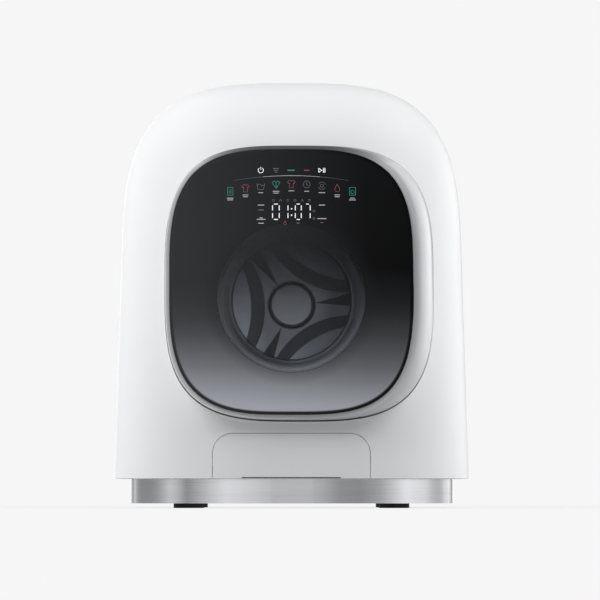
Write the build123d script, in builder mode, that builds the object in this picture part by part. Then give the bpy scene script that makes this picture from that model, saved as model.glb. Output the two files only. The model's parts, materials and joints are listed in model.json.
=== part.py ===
from build123d import *
import math
import os

# Compact front-loading washer-dryer on a steel plinth, in millimetres.
# X to the right, Y from the door to the back, Z up. The origin is on the floor, midway.

# ---- Overall ---------------------------------------------------------------------------
width = 430.0
depth = 400.0
height = 516.0
wall = 3.0                      # casing and cover mouldings
gap = 0.6                       # visible gap round the drawer and between sliding parts
running = 0.05                  # radial clearance of a shaft in its bearing

# ---- Feet, plinth and casing -----------------------------------------------------------
foot_height = 5.6
foot_radius = 18.5
foot_x = 123.5
foot_front_inset = 68.0         # from the casing's front to the middle of the front feet
foot_back_inset = 61.0
stud_radius = 6.0
plinth_height = 30.0
plinth_inset = 20.0
plinth_sheet = 1.5
floor_thickness = 4.0
front_round_width = 190.0       # half-axes of the rounding between the front and the sides
front_round_depth = 105.0
rear_round = 12.0
arch_start = 300.0              # height at which the sides begin to close into the arch
arch_power = 3.3
arch_drop = 0.3                 # how far the start of the arch falls per mm of inset
side_taper = 0.031
glass_proud = 22.0              # the middle of the door glass stands this far before the casing
spigot_reach = 20.0             # water connections behind the rear cover
cover_depth = 4.0
rear_flange = 26.0

casing_base = foot_height + plinth_height
floor_top = casing_base + floor_thickness
glass_apex = -depth / 2
casing_front = glass_apex + glass_proud
cover_back = depth / 2 - spigot_reach
casing_back = cover_back - cover_depth
foot_front_y = casing_front + foot_front_inset
foot_back_y = casing_back - foot_back_inset
round_start = casing_front + front_round_depth
rear_start = casing_back - rear_round
flat_half = width / 2 - front_round_width

# ---- Door ------------------------------------------------------------------------------
door_x = 9.4
door_z = 268.6
door_half_w = 160.4
door_half_h = 164.3
glass_z = 269.3
glass_half_w = 145.6
glass_half_h = 158.4
door_power = 3.3
door_gap = 1.2
ring_wall = 3.0
rim_land = 4.0                  # flat edge of the ring beside the glass
ring_ledge = 5.0                # the lip that the glass is bonded to
shoulder_depth = 28.5
skirt_draft = 2.0
pocket_depth = 46.0
door_standoff = 6.0             # from the back of the door to the floor of its pocket
glass_crown = 2000.0            # radius of the bulged glass
glass_thickness = 4.0
glass_gap = 0.4
rim_step = 9.5                  # from the middle of the glass back to the edge of the ring

pocket_floor = casing_front + pocket_depth
skirt_back = pocket_floor - door_standoff
glass_rim = glass_apex + rim_step
shoulder_base = glass_rim + shoulder_depth
ledge_front = glass_rim + 3.0
ledge_back = ledge_front + ring_wall

# ---- Drum, tub and their seals, all about one horizontal axis -----------------------------
drum_z = 250.0
drum_radius = 136.0
drum_sheet = 1.2
mouth_setback = 28.0            # from the floor of the door's pocket back to the drum
drum_length = 140.0
drum_mouth = 91.0
tub_radius = 150.0
tub_wall = 3.0
tub_front_room = 7.0            # between the drum and the tub
tub_rear_room = 24.0
tub_front_depth = 41.0
tub_flange = 11.0
mouth_radius = 94.5
hatch_radius = 97.0
seal_radius = 92.0
bowl_front_radius = 89.0
bowl_back_radius = 80.0
bowl_depth = 46.0
bowl_thickness = 4.0
frame_thickness = 4.0
frame_collar = 20.0             # depth of the collar that holds the bowl

drum_front = pocket_floor + mouth_setback
drum_back_y = drum_front + drum_length
tub_front_y = drum_front - tub_front_room
tub_joint_y = tub_front_y + tub_front_depth
tub_back_y = drum_back_y + tub_rear_room
tub_outer = tub_radius + tub_wall

# ---- Drum back: three moulded pads with sloping edges, between three grooved arms ----------
pad_height = 9.0
pad_outer = 75.4
pad_foot = 33.0                 # nearest distance of a pad's foot from the axis
pad_crest = 50.0                # nearest distance of a pad's top edge from the axis
pad_foot_angle = 11.0           # half angle of an arm at the foot of its pads
pad_crest_angle = 22.0
arm_turn = 1.5                  # direction of the first arm
groove_turn = 4.0               # the groove leans this far off the middle of its arm
groove_half_angle = 6.5
groove_depth = 2.5
back_disc = 3.0
hub_radius = 25.8
hub_ring = 29.5
hub_height = 12.0

# ---- Drive ---------------------------------------------------------------------------------
shaft_radius = 12.0
bearing_outer = 23.5
bearing_width = 12.0
bearing_spread = 22.0
housing_radius = 32.0
stator_inner = 55.0
stator_outer = 85.0
stator_standoff = 8.0
stator_length = 22.0
rotor_air_gap = 2.0
rotor_wall = 8.0
rotor_clearance = 6.0

front_bearing_y = tub_back_y + 2.0
rear_bearing_y = front_bearing_y + bearing_spread
housing_front = front_bearing_y - bearing_width
housing_back = rear_bearing_y + bearing_width + 2.0
stator_front = tub_back_y + stator_standoff
stator_back = stator_front + stator_length
rotor_back = housing_back + rotor_clearance

# ---- Suspension ----------------------------------------------------------------------------
hang_setback = 70.0             # from the tub's joint back to its springs
upright_half_y = 15.0
upright_top = 440.0
upright_sheet = 2.0
upright_flange = 10.0
spring_radius = 9.0
spring_room = 14.0              # from a spring's axis out to its upright
spring_bottom = 332.0
spring_top = 422.0
damper_x = 125.0
damper_setback = 10.0           # the dampers stand this far behind the springs
damper_radius = 11.0
damper_bore = 5.5
damper_top = 105.0
rod_radius = 5.0
rod_bottom = 75.0
rod_top = 140.0

hang_y = tub_joint_y + hang_setback
spring_x = tub_outer + spring_radius
upright_x = spring_x + spring_room
damper_y = hang_y + damper_setback

# ---- Drawer, pump and water path ------------------------------------------------------------
drawer_half = 94.0
drawer_top = 89.0
drawer_corner = 24.0
notch_half = 59.0
notch_height = 1.6
tray_half = 88.0
tray_wall = 2.5
tray_top = 80.0
tray_back_gap = 5.0
pump_z = 64.0
pump_radius = 20.0
pump_bore = 16.5
pump_length = 50.0
pump_motor_radius = 18.0
pump_motor_length = 45.0
sump_radius = 12.0
sump_overlap = 20.0             # the pump begins this far before its inlet
filter_room = 20.0              # between the drawer's bay and the pump
inlet_x = -120.0
inlet_z = 432.0
inlet_radius = 13.22
spigot_x = 120.0
spigot_z = 80.0
spigot_radius = 10.0
gland_x = -150.0
gland_z = 80.0
gland_radius = 9.0
hose_radius = 8.0

sump_y = hang_y - 5.0
pump_front = sump_y - sump_overlap
pump_back = pump_front + pump_length
pump_motor_back = pump_back + pump_motor_length
bay_back = pump_front - filter_room
tray_back = bay_back - tray_back_gap

# ---- Wall fixing ------------------------------------------------------------------------------
fixing_x = 300.0
fixing_z = 280.0
fixing_hole = 4.2
fixing_boss = 9.0
rail_half_height = 15.0
rail_depth = 17.0

# ---- Drying air path, carried on top of the tub ------------------------------------------------
deck_rise = 9.0                 # of the duct over the top of the tub
duct_height = 32.0
duct_wall = 2.5
duct_depth = 40.0
duct_end = 110.0
fan_x = -60.0
fan_casing_radius = 50.0
fan_radius = 40.0
fan_inlet = 18.0
fan_shaft = 3.0
fan_motor_radius = 24.0
fan_motor_height = 30.0

deck_z = drum_z + tub_outer + deck_rise
fan_y = hang_y + 5.0
duct_front = fan_y - fan_casing_radius
duct_back = duct_front + duct_depth

# ---- Hinge and latch ----------------------------------------------------------------------------
hinge_x = -141.0
hinge_y = casing_front + 8.0
hinge_z = 269.0
hinge_pin_radius = 2.5
hinge_eye = 4.5
arm_sheet = 5.0
arm_reach = 38.0                # the gooseneck passes this far beside the pin
arm_bow = 14.0                  # and this far before it
arm_half = 18.0
latch_x = door_x + door_half_w - 19.8
latch_z = 269.0
latch_pivot_y = skirt_back - 8.0
latch_pin_radius = 1.5
hook_half = 6.0
hook_end = pocket_floor + 13.0


# ---- Profiles and planes ---------------------------------------------------------------------------
def upright(y):
    """The vertical plane facing the front at depth y; its local axes are X and Z."""
    return Plane.XZ.offset(-y)


def front_circle_y(half_axis, turn):
    """Depth of a rounding section turned by an angle from the side."""
    return round_start - half_axis * math.sin(turn)


def arch(inset, base):
    """Front outline of the casing: tapering sides that close into a superelliptic arch."""
    half = width / 2 - inset
    start = arch_start - arch_drop * inset
    rise = height - inset - start

    def half_at(z):
        return half - side_taper * (z - casing_base)

    side = [(half_at(base), base), (half_at((base + start) / 2), (base + start) / 2)]
    for step in range(6):
        turn = math.radians(15 * step)
        z = start + rise * math.sin(turn) ** (2 / arch_power)
        side.append((half_at(z) * math.cos(turn) ** (2 / arch_power), z))
    points = side + [(0, start + rise)] + [(-x, z) for x, z in reversed(side)]
    with BuildSketch() as face:
        with BuildLine():
            curve = Spline(*points, tangents=[(-side_taper, 1), (-side_taper, -1)])
            Line(curve @ 1, curve @ 0)
        make_face()
    return face.sketch


def squircle(x, z, half_w, half_h):
    """A rounded square with continuously curving sides."""
    steps = 24
    points = []
    for step in range(steps):
        turn = 2 * math.pi * step / steps
        across = math.copysign(abs(math.cos(turn)) ** (2 / door_power), math.cos(turn))
        up = math.copysign(abs(math.sin(turn)) ** (2 / door_power), math.sin(turn))
        points.append((x + half_w * across, z + half_h * up))
    with BuildSketch() as face:
        with BuildLine():
            Spline(*points, periodic=True)
        make_face()
    return face.sketch


def door_outline(grow):
    """Outline of the whole door, grown by a clearance or shrunk by a wall."""
    return squircle(door_x, door_z, door_half_w + grow, door_half_h + grow)


def glass_outline(grow):
    return squircle(0, glass_z, glass_half_w + grow, glass_half_h + grow)


def shoulder_outline(share, grow):
    """Outline between the door's edge (share 0) and the edge of its glass (share 1)."""
    x = door_x * (1 - share)
    z = door_z + (glass_z - door_z) * share
    half_w = door_half_w + (glass_half_w - door_half_w) * share
    half_h = door_half_h + (glass_half_h - door_half_h) * share
    return squircle(x, z, half_w + grow, half_h + grow)


def plan(inset, corner):
    """Plan of the casing: straight sides, elliptic front corners, rounded back corners."""
    half = width / 2 - inset
    front = casing_front + inset
    back = casing_back - inset
    across = front_round_width - inset
    along = front_round_depth - inset
    with BuildSketch() as face:
        with BuildLine():
            Polyline((-half, round_start), (-half, back), (half, back), (half, round_start))
            EllipticalCenterArc((flat_half, round_start), across, along, 270, arc_size=90)
            Line((flat_half, front), (-flat_half, front))
            EllipticalCenterArc((-flat_half, round_start), across, along, 180, arc_size=90)
        make_face()
        fillet(face.vertices().group_by(Axis.Y)[-1], corner)
    return face.sketch


# The drawer's sides lie this far behind its middle, because the casing's front is curved.
drawer_sag = front_round_depth * (1 - math.sqrt(1 - ((drawer_half - flat_half) / front_round_width) ** 2))


def drawer_outline(grow):
    """Front outline of the drawer, open below: only its upper corners are round."""
    below = 2 * drawer_corner
    tall = drawer_top - casing_base + below
    with BuildSketch() as face:
        with Locations((0, drawer_top - tall / 2)):
            RectangleRounded(2 * (drawer_half + grow), tall + 2 * grow, drawer_corner + grow)
    return face.sketch


def casing_solid(shrink, base):
    """The casing's outer form, or the same form shrunk all round by a wall."""
    across = front_round_width - shrink
    along = front_round_depth - shrink
    back_round = rear_round - shrink
    with BuildPart() as solid:
        for angle in (0, 20, 40, 58, 72, 82, 90):
            turn = math.radians(angle)
            with BuildSketch(upright(front_circle_y(along, turn))):
                add(arch(shrink + across * (1 - math.cos(turn)), base))
        loft()
        with BuildSketch(upright(round_start)):
            add(arch(shrink, base))
        extrude(amount=round_start - rear_start)
        for angle in (0, 30, 60, 90):
            turn = math.radians(angle)
            with BuildSketch(upright(rear_start + back_round * math.sin(turn))):
                add(arch(shrink + back_round * (1 - math.cos(turn)), base))
        loft()
    return solid.part


def turned(points, level=drum_z):
    """A solid of revolution about a line along Y at one height, from (y, radius) points."""
    lathe = Plane(origin=(0, 0, level), x_dir=(0, 1, 0), z_dir=(1, 0, 0))
    with BuildPart() as solid:
        with BuildSketch(lathe):
            with BuildLine():
                Polyline(*points, close=True)
            make_face()
        revolve(axis=Axis((0, 0, level), (0, 1, 0)))
    return solid.part


def ring_points(front, back, inner, outer):
    return [(front, inner), (back, inner), (back, outer), (front, outer)]


def hose(points, radius, bore, bends):
    """A hose along straight runs joined by arcs."""
    with BuildPart() as solid:
        with BuildLine() as path:
            FilletPolyline(*points, radius=bends)
        with BuildSketch(Plane(origin=path.line @ 0, z_dir=path.line % 0)):
            Circle(radius)
            Circle(bore, mode=Mode.SUBTRACT)
        sweep()
    return solid.part


# ==== Standing parts ====================================================================================
feet_places = [(x, y) for x in (-foot_x, foot_x) for y in (foot_front_y, foot_back_y)]
neck_height = 4.0
neck_radius = 13.0
stud_seat = 2.0
nut_height = 6.0
boss_height = 9.0

with BuildPart() as feet:
    with BuildSketch():
        with Locations(*feet_places):
            Circle(foot_radius)
    extrude(amount=foot_height)
    with BuildSketch(Plane.XY.offset(foot_height)):
        with Locations(*feet_places):
            Circle(neck_radius)
    extrude(amount=neck_height)
    fillet(feet.edges().filter_by(GeomType.CIRCLE).group_by(Axis.Z)[0], 1.0)
    with BuildSketch(Plane.XY.offset(stud_seat)):
        with Locations(*feet_places):
            Circle(stud_radius)
    extrude(amount=foot_height + neck_height, mode=Mode.SUBTRACT)

with BuildPart() as foot_studs:
    with BuildSketch(Plane.XY.offset(stud_seat)):
        with Locations(*feet_places):
            Circle(stud_radius)
    extrude(amount=floor_top + boss_height - stud_seat)
    with BuildSketch(Plane.XY.offset(foot_height + neck_height)):
        with Locations(*feet_places):
            RegularPolygon(stud_radius + 4, 6)
    extrude(amount=nut_height)

with BuildPart() as plinth:
    with BuildSketch(Plane.XY.offset(foot_height)):
        add(plan(plinth_inset, rear_round))
        add(plan(plinth_inset + plinth_sheet, rear_round - plinth_sheet), mode=Mode.SUBTRACT)
    extrude(amount=plinth_height)

tray_gap = 1.2                  # the sides lean in over the height of the rim
tray_rim = 12.0
tray_corner = rear_round - wall - tray_gap
bay_relief = 6.0
rim_relief = drawer_sag + 12.0

with BuildPart() as base_tray:
    with BuildSketch(Plane.XY.offset(casing_base)):
        add(plan(wall + tray_gap, tray_corner))
    extrude(amount=floor_thickness)
    with BuildSketch(Plane.XY.offset(floor_top)):
        add(plan(wall + tray_gap, tray_corner))
        add(plan(2 * wall + tray_gap, tray_corner - wall), mode=Mode.SUBTRACT)
        with Locations((0, casing_front)):
            Rectangle(2 * (drawer_half + 2 * gap), 2 * rim_relief, mode=Mode.SUBTRACT)
    extrude(amount=tray_rim)
    with BuildSketch(Plane.XY.offset(floor_top)):
        with Locations(*feet_places):
            Circle(stud_radius + 5)
    extrude(amount=boss_height)
    with BuildSketch(Plane.XY.offset(casing_base)):
        with Locations(*feet_places):
            Circle(stud_radius)
        with Locations((0, casing_front)):
            Rectangle(2 * (drawer_half + 2 * gap), 2 * bay_relief)
    extrude(amount=floor_thickness + tray_rim, mode=Mode.SUBTRACT)

# The casing is one moulding: an arched shell with a recessed cup that takes the door.
slot_left = 8.5                 # the latch slot reaches this far left of the hook
slot_right = 10.0
slot_half = 8.0

outer_form = casing_solid(0, casing_base)
inner_form = casing_solid(wall, casing_base - 1)

with BuildPart() as cavity:
    add(inner_form)
    with BuildSketch(upright(pocket_floor + wall)):
        add(door_outline(door_gap + wall))
    extrude(amount=pocket_depth + wall + 1, mode=Mode.SUBTRACT)

with BuildPart() as casing:
    add(outer_form)
    add(cavity.part, mode=Mode.SUBTRACT)
    with BuildSketch(upright(pocket_floor)):
        add(door_outline(door_gap))
    extrude(amount=pocket_depth + 1, mode=Mode.SUBTRACT)
    with BuildSketch(upright(pocket_floor + wall + 1)):
        with Locations((0, drum_z)):
            Circle(hatch_radius)
        with Locations((latch_x + (slot_right - slot_left) / 2, latch_z)):
            Rectangle(slot_left + slot_right, 2 * slot_half)
    extrude(amount=wall + 2, mode=Mode.SUBTRACT)
    with BuildSketch(upright(pocket_floor)):
        add(drawer_outline(gap))
    extrude(amount=pocket_depth + 1, mode=Mode.SUBTRACT)
    with BuildSketch(upright(casing_back + 1)):
        add(arch(rear_flange, casing_base + rear_flange))
    extrude(amount=wall + 2, mode=Mode.SUBTRACT)

# ==== Rear ================================================================================================
cover_inset = 18.0
cover_sheet = 2.0
cover_edge = 1.0
vent_rows = 9
vent_pitch = 11.0
vent_width = 70.0
vent_height = 3.0
vent_x = 50.0
vent_z = 250.0
hole_gap = 1.0
fixings = [(x, z) for x in (-fixing_x / 2, fixing_x / 2)
           for z in (drum_z - fixing_z / 2, drum_z + fixing_z / 2)]

with BuildPart() as rear_cover:
    with BuildSketch(upright(casing_back)):
        add(arch(cover_inset, casing_base + cover_inset))
    extrude(amount=-cover_depth)
    fillet(rear_cover.faces().sort_by(Axis.Y)[-1].edges(), cover_edge)
    with BuildSketch(upright(casing_back)):
        add(arch(rear_flange, casing_base + rear_flange))
    extrude(amount=-(cover_depth - cover_sheet), mode=Mode.SUBTRACT)
    with BuildSketch(upright(casing_back)):
        with Locations((-vent_x, vent_z), (vent_x, vent_z)):
            with GridLocations(1, vent_pitch, 1, vent_rows):
                SlotOverall(vent_width, vent_height)
        with Locations(*fixings):
            Circle(fixing_boss + hole_gap)
        with Locations((inlet_x, inlet_z)):
            Circle(inlet_radius + 3 + hole_gap)
        with Locations((spigot_x, spigot_z)):
            Circle(spigot_radius + 6 + hole_gap)
        with Locations((gland_x, gland_z)):
            Circle(gland_radius + hole_gap)
    extrude(amount=-cover_depth, mode=Mode.SUBTRACT)

rail_half_length = 182.0
rail_back = casing_back - wall
rail_front = rail_back - rail_depth
rail_sheet = 2.0

with BuildPart() as wall_rails:
    for z in (drum_z - fixing_z / 2, drum_z + fixing_z / 2):
        with BuildSketch(upright(rail_back)):
            with Locations((0, z)):
                Rectangle(2 * rail_half_length, 2 * rail_half_height)
        extrude(amount=rail_depth)
        with BuildSketch(upright(rail_back - rail_sheet)):
            with Locations((0, z)):
                Rectangle(2 * rail_half_length, 2 * (rail_half_height - rail_sheet))
        extrude(amount=rail_depth, mode=Mode.SUBTRACT)
    with BuildSketch(upright(cover_back)):
        with Locations(*fixings):
            Circle(fixing_boss)
    extrude(amount=cover_back - rail_front)
    with BuildSketch(upright(cover_back)):
        with Locations(*fixings):
            Circle(fixing_hole)
    extrude(amount=cover_back - rail_front, mode=Mode.SUBTRACT)

# ==== Door ==================================================================================================
with BuildPart() as ring_core:
    with BuildSketch(upright(skirt_back + 1)):
        add(door_outline(-skirt_draft - ring_wall))
    with BuildSketch(upright(shoulder_base)):
        add(door_outline(-ring_wall))
    loft()
    for reach in (0, 0.35, 0.7, 1):
        depth_share = reach * (shoulder_base - ledge_back) / shoulder_depth
        share = 1 - math.sqrt(1 - depth_share ** 2)
        with BuildSketch(upright(shoulder_base - depth_share * shoulder_depth)):
            add(shoulder_outline(share, -ring_wall))
    loft()

with BuildPart() as door_ring:
    with BuildSketch(upright(skirt_back)):
        add(door_outline(-skirt_draft))
    with BuildSketch(upright(shoulder_base)):
        add(door_outline(0))
    loft()
    for angle in (0, 20, 40, 60, 75, 90):
        turn = math.radians(angle)
        with BuildSketch(upright(shoulder_base - shoulder_depth * math.sin(turn))):
            share = 1 - math.cos(turn)
            add(shoulder_outline(share, rim_land * share))
    loft()
    add(ring_core.part, mode=Mode.SUBTRACT)
    with BuildSketch(upright(ledge_front)):
        add(glass_outline(0))
    extrude(amount=shoulder_depth, mode=Mode.SUBTRACT)
    with BuildSketch(upright(ledge_back + 1)):
        add(glass_outline(-ring_ledge))
    extrude(amount=shoulder_depth, mode=Mode.SUBTRACT)

with BuildPart() as door_glass:
    with BuildSketch(upright(glass_apex + 3 * rim_step)):
        add(glass_outline(-glass_gap))
    extrude(amount=4 * rim_step)
    with Locations((0, glass_apex + glass_crown, glass_z)):
        Sphere(glass_crown, mode=Mode.INTERSECT)
        Sphere(glass_crown - glass_thickness, mode=Mode.SUBTRACT)

collar_front = skirt_back - frame_collar
collar_inner = bowl_front_radius + glass_gap
collar_outer = collar_inner + frame_thickness
plate_front = skirt_back - frame_thickness
lug_height = 8.0
lug_gap = 0.5
arm_window = 4.0                # window beyond the gooseneck's reach
arm_notch = 6.0                 # the window runs out through the frame's left edge
cheek = 3.0

with BuildPart() as door_frame:
    with BuildSketch(upright(skirt_back)):
        add(door_outline(-skirt_draft - ring_wall - glass_gap))
    extrude(amount=frame_thickness)
    with BuildSketch(upright(skirt_back)):
        with Locations((0, drum_z)):
            Circle(collar_outer)
    extrude(amount=frame_collar)
    # Lugs above and below the gooseneck carry the hinge pin.
    for z in (hinge_z + arm_half + lug_gap, hinge_z - arm_half - lug_gap - lug_height):
        with BuildSketch(Plane.XY.offset(z)):
            with Locations((hinge_x, hinge_y)):
                Circle(hinge_eye)
            with Locations((hinge_x, (hinge_y + plate_front) / 2)):
                Rectangle(2 * hinge_eye, plate_front - hinge_y)
        extrude(amount=lug_height)
    # Cheeks above and below the hook carry its pin.
    for z in (latch_z + hook_half + lug_gap, latch_z - hook_half - lug_gap - cheek):
        with BuildSketch(Plane.XY.offset(z)):
            with Locations((latch_x, (latch_pivot_y - 4 + plate_front) / 2)):
                Rectangle(2 * hinge_eye, plate_front - latch_pivot_y + 4)
        extrude(amount=cheek)
    with BuildSketch(upright(skirt_back)):
        with Locations((0, drum_z)):
            Circle(collar_inner)
        with Locations((hinge_x + (arm_reach + arm_window - arm_notch) / 2, hinge_z)):
            Rectangle(arm_reach + arm_window + arm_notch, 2 * (arm_half + lug_gap))
        with Locations((latch_x + (slot_right - slot_left) / 2, latch_z)):
            Rectangle(slot_left + slot_right, 2 * (hook_half + lug_gap))
    extrude(amount=frame_collar, mode=Mode.SUBTRACT)
    with BuildSketch(Plane.XY.offset(hinge_z - arm_half - 2 * lug_height)):
        with Locations((hinge_x, hinge_y)):
            Circle(hinge_pin_radius)
    extrude(amount=2 * (arm_half + 2 * lug_height), mode=Mode.SUBTRACT)
    with BuildSketch(Plane.XY.offset(latch_z - 2 * hook_half)):
        with Locations((latch_x, latch_pivot_y)):
            Circle(latch_pin_radius)
    extrude(amount=4 * hook_half, mode=Mode.SUBTRACT)

bowl_back = collar_front + bowl_depth

with BuildPart() as door_bowl:
    add(turned([
        (collar_front - bowl_thickness, bowl_front_radius - bowl_thickness),
        (collar_front - bowl_thickness, collar_outer),
        (collar_front, collar_outer),
        (collar_front, bowl_front_radius),
        (bowl_back, bowl_back_radius),
        (bowl_back, 0),
        (bowl_back - bowl_thickness, 0),
        (bowl_back - bowl_thickness, bowl_back_radius - bowl_thickness),
    ]))
    fillet(door_bowl.edges().filter_by(GeomType.CIRCLE).group_by(Axis.Y)[-1], 9)
    fillet(door_bowl.edges().filter_by(GeomType.CIRCLE).group_by(Axis.Y)[-3], 5)

display_half = 70.0
display_bottom = 352.0
display_top = 412.0
display_depth = 12.0

with BuildPart() as display_module:
    display_back = glass_apex + glass_thickness + display_depth + 3
    with BuildSketch(upright(display_back)):
        with Locations((0, (display_bottom + display_top) / 2)):
            RectangleRounded(2 * display_half, display_top - display_bottom, 6)
    extrude(amount=2 * display_depth)
    with Locations((0, glass_apex + glass_crown, glass_z)):
        Sphere(glass_crown - glass_thickness, mode=Mode.INTERSECT)

with BuildPart() as hinge_pin:
    with BuildSketch(Plane.XY.offset(hinge_z - arm_half - lug_gap - lug_height)):
        with Locations((hinge_x, hinge_y)):
            Circle(hinge_pin_radius)
    extrude(amount=2 * (arm_half + lug_gap + lug_height))

arm_flange = 3.0
flange_width = 20.0
flange_tall = 26.0

with BuildPart() as hinge_arm:
    knee = (hinge_x + arm_reach, hinge_y - arm_bow)
    with BuildSketch(Plane.XY.offset(hinge_z - arm_half)):
        with BuildLine():
            FilletPolyline((hinge_x, hinge_y), knee, (knee[0], pocket_floor), radius=8)
        trace(line_width=arm_sheet)
        with Locations((hinge_x, hinge_y)):
            Circle(hinge_eye)
        with Locations((hinge_x, hinge_y)):
            Circle(hinge_pin_radius + running, mode=Mode.SUBTRACT)
    extrude(amount=2 * arm_half)
    with BuildSketch(upright(pocket_floor)):
        with Locations((knee[0] + arm_sheet / 2 - flange_width / 2, hinge_z)):
            Rectangle(flange_width, 2 * flange_tall)
    extrude(amount=arm_flange)

hook_shank = 4.0
hook_barb = 4.5
barb_length = 5.0
hook_eye = 4.0

with BuildPart() as latch_hook:
    with BuildSketch(Plane.XY.offset(latch_z - hook_half)):
        with Locations((latch_x, latch_pivot_y)):
            Circle(hook_eye)
        with Locations((latch_x, (latch_pivot_y + hook_end) / 2)):
            Rectangle(hook_shank, hook_end - latch_pivot_y)
        with BuildLine():
            Polyline(
                (latch_x, hook_end),
                (latch_x - hook_shank / 2 - 1, hook_end),
                (latch_x - hook_shank / 2 - hook_barb, hook_end - barb_length + 2),
                (latch_x - hook_shank / 2 - hook_barb, hook_end - barb_length),
                (latch_x, hook_end - barb_length),
                close=True,
            )
        make_face()
        with Locations((latch_x, latch_pivot_y)):
            Circle(latch_pin_radius + running, mode=Mode.SUBTRACT)
    extrude(amount=2 * hook_half)

with BuildPart() as latch_pin:
    with BuildSketch(Plane.XY.offset(latch_z - hook_half - lug_gap - cheek)):
        with Locations((latch_x, latch_pivot_y)):
            Circle(latch_pin_radius)
    extrude(amount=2 * (hook_half + lug_gap + cheek))

# The lock behind the pocket floor: a housing, and a bolt that slides before the hook's barb.
lock_front = pocket_floor + wall
lock_depth = 15.0
lock_left = 22.0
lock_right = 14.0
lock_half = 12.0
lock_wall = 2.0
bolt_front = lock_front + 0.4
bolt_back = hook_end - barb_length - 1.0
bolt_right = latch_x - hook_shank / 2 - hook_barb - 1.2
bolt_half = 5.0

with BuildPart() as door_lock:
    with BuildSketch(upright(lock_front + lock_depth)):
        with Locations((latch_x + (lock_right - lock_left) / 2, latch_z)):
            RectangleRounded(lock_left + lock_right, 2 * lock_half, 3)
    extrude(amount=lock_depth)
    with BuildSketch(upright(lock_front + lock_depth - lock_wall)):
        with Locations((latch_x + (lock_right - lock_left) / 2, latch_z)):
            Rectangle(lock_left + lock_right - 2 * lock_wall, 2 * slot_half)
    extrude(amount=lock_depth, mode=Mode.SUBTRACT)

with BuildPart() as lock_bolt:
    with BuildSketch(upright(bolt_back)):
        with Locations((bolt_right - 5, latch_z)):
            Rectangle(10, 2 * bolt_half)
    extrude(amount=bolt_back - bolt_front)

# ==== Tub and drum =========================================================================================
mouth_front = tub_front_y - 7

with BuildPart() as tub_front:
    add(turned([
        (mouth_front, mouth_radius),
        (tub_front_y + tub_wall, mouth_radius),
        (tub_front_y + tub_wall, tub_radius - 12),
        (tub_front_y + 15, tub_radius),
        (tub_joint_y, tub_radius),
        (tub_joint_y, tub_outer + tub_flange - 3),
        (tub_joint_y - 4, tub_outer + tub_flange - 3),
        (tub_joint_y - 4, tub_outer),
        (tub_front_y + 13, tub_outer),
        (tub_front_y, tub_radius - 10),
        (tub_front_y, mouth_radius + tub_wall),
        (mouth_front, mouth_radius + tub_wall),
    ]))

ear_inner = tub_radius - 18.0
ear_outer = spring_x + spring_radius
rod_lug_half = 12.0
rib_count = 12
rib_height = 4.0
saddle_half_y = 38.0
saddle_thickness = 4.0

with BuildPart() as tub_rear:
    add(turned([
        (tub_joint_y, tub_radius),
        (tub_back_y - tub_wall, tub_radius),
        (tub_back_y - tub_wall, housing_radius),
        (tub_back_y, housing_radius),
        (tub_back_y, tub_outer - 3),
        (tub_back_y - 3, tub_outer),
        (tub_joint_y + 4, tub_outer),
        (tub_joint_y + 4, tub_outer + tub_flange - 3),
        (tub_joint_y, tub_outer + tub_flange - 3),
    ]))
    with BuildSketch(upright(tub_back_y)):
        with Locations((0, drum_z)):
            with PolarLocations((stator_inner + tub_radius) / 2, rib_count):
                Rectangle(tub_radius - stator_inner, tub_wall)
    extrude(amount=-rib_height)
    # Ears for the springs and the damper rods.
    with BuildSketch(upright(hang_y + rod_lug_half)):
        for side in (-1, 1):
            with Locations((side * (ear_inner + ear_outer) / 2, spring_bottom - 8)):
                Rectangle(ear_outer - ear_inner, 16)
            with Locations((side * damper_x, rod_top + 24)):
                Rectangle(2 * rod_lug_half, 48)
    extrude(amount=2 * rod_lug_half)
    # Two saddles carry the drying air duct, with a stub up to the fan.
    for y in (-saddle_half_y, saddle_half_y):
        with BuildSketch(upright(hang_y + y + saddle_thickness / 2)):
            with Locations(((fan_x - fan_casing_radius + 40) / 2, (drum_z + deck_z) / 2)):
                Rectangle(40 + fan_casing_radius - fan_x, deck_z - drum_z)
        extrude(amount=saddle_thickness)
    with BuildSketch(Plane.XY.offset(drum_z)):
        with Locations((fan_x, fan_y)):
            Circle(fan_inlet + tub_wall)
        with Locations((0, sump_y)):
            Circle(sump_radius)
    extrude(amount=deck_z - drum_z)
    with BuildSketch(Plane.XY.offset(drum_z - tub_outer - 4.5)):
        with Locations((0, sump_y)):
            Circle(sump_radius)
    extrude(amount=tub_wall + 4.5)
    add(turned(ring_points(tub_joint_y, tub_back_y - tub_wall, 0, tub_radius)), mode=Mode.SUBTRACT)
    with BuildSketch(Plane.XY.offset(drum_z)):
        with Locations((fan_x, fan_y)):
            Circle(fan_inlet)
        with Locations((duct_end - duct_wall - 17, (duct_front + duct_back) / 2)):
            Rectangle(34, duct_back - duct_front - 2 * duct_wall)
    extrude(amount=deck_z - drum_z, mode=Mode.SUBTRACT)
    with BuildSketch(Plane.XY.offset(drum_z)):
        with Locations((0, sump_y)):
            Circle(sump_radius - tub_wall)
    extrude(amount=-(tub_outer + 5), mode=Mode.SUBTRACT)

weight_depth = 12.0
weight_edge = 50.0              # the weight's straight top lies this far under the axis

with BuildPart() as counterweight:
    with BuildSketch(upright(tub_front_y)):
        with Locations((0, drum_z)):
            Circle(tub_radius - 12)
            Circle(mouth_radius + tub_wall + 5, mode=Mode.SUBTRACT)
        with Locations((0, drum_z + tub_radius - weight_edge)):
            Rectangle(2 * tub_radius, 2 * tub_radius, mode=Mode.SUBTRACT)
    extrude(amount=weight_depth)
    fillet(counterweight.faces().sort_by(Axis.Y)[0].edges(), 1.5)

gasket_lip = 7.0

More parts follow.
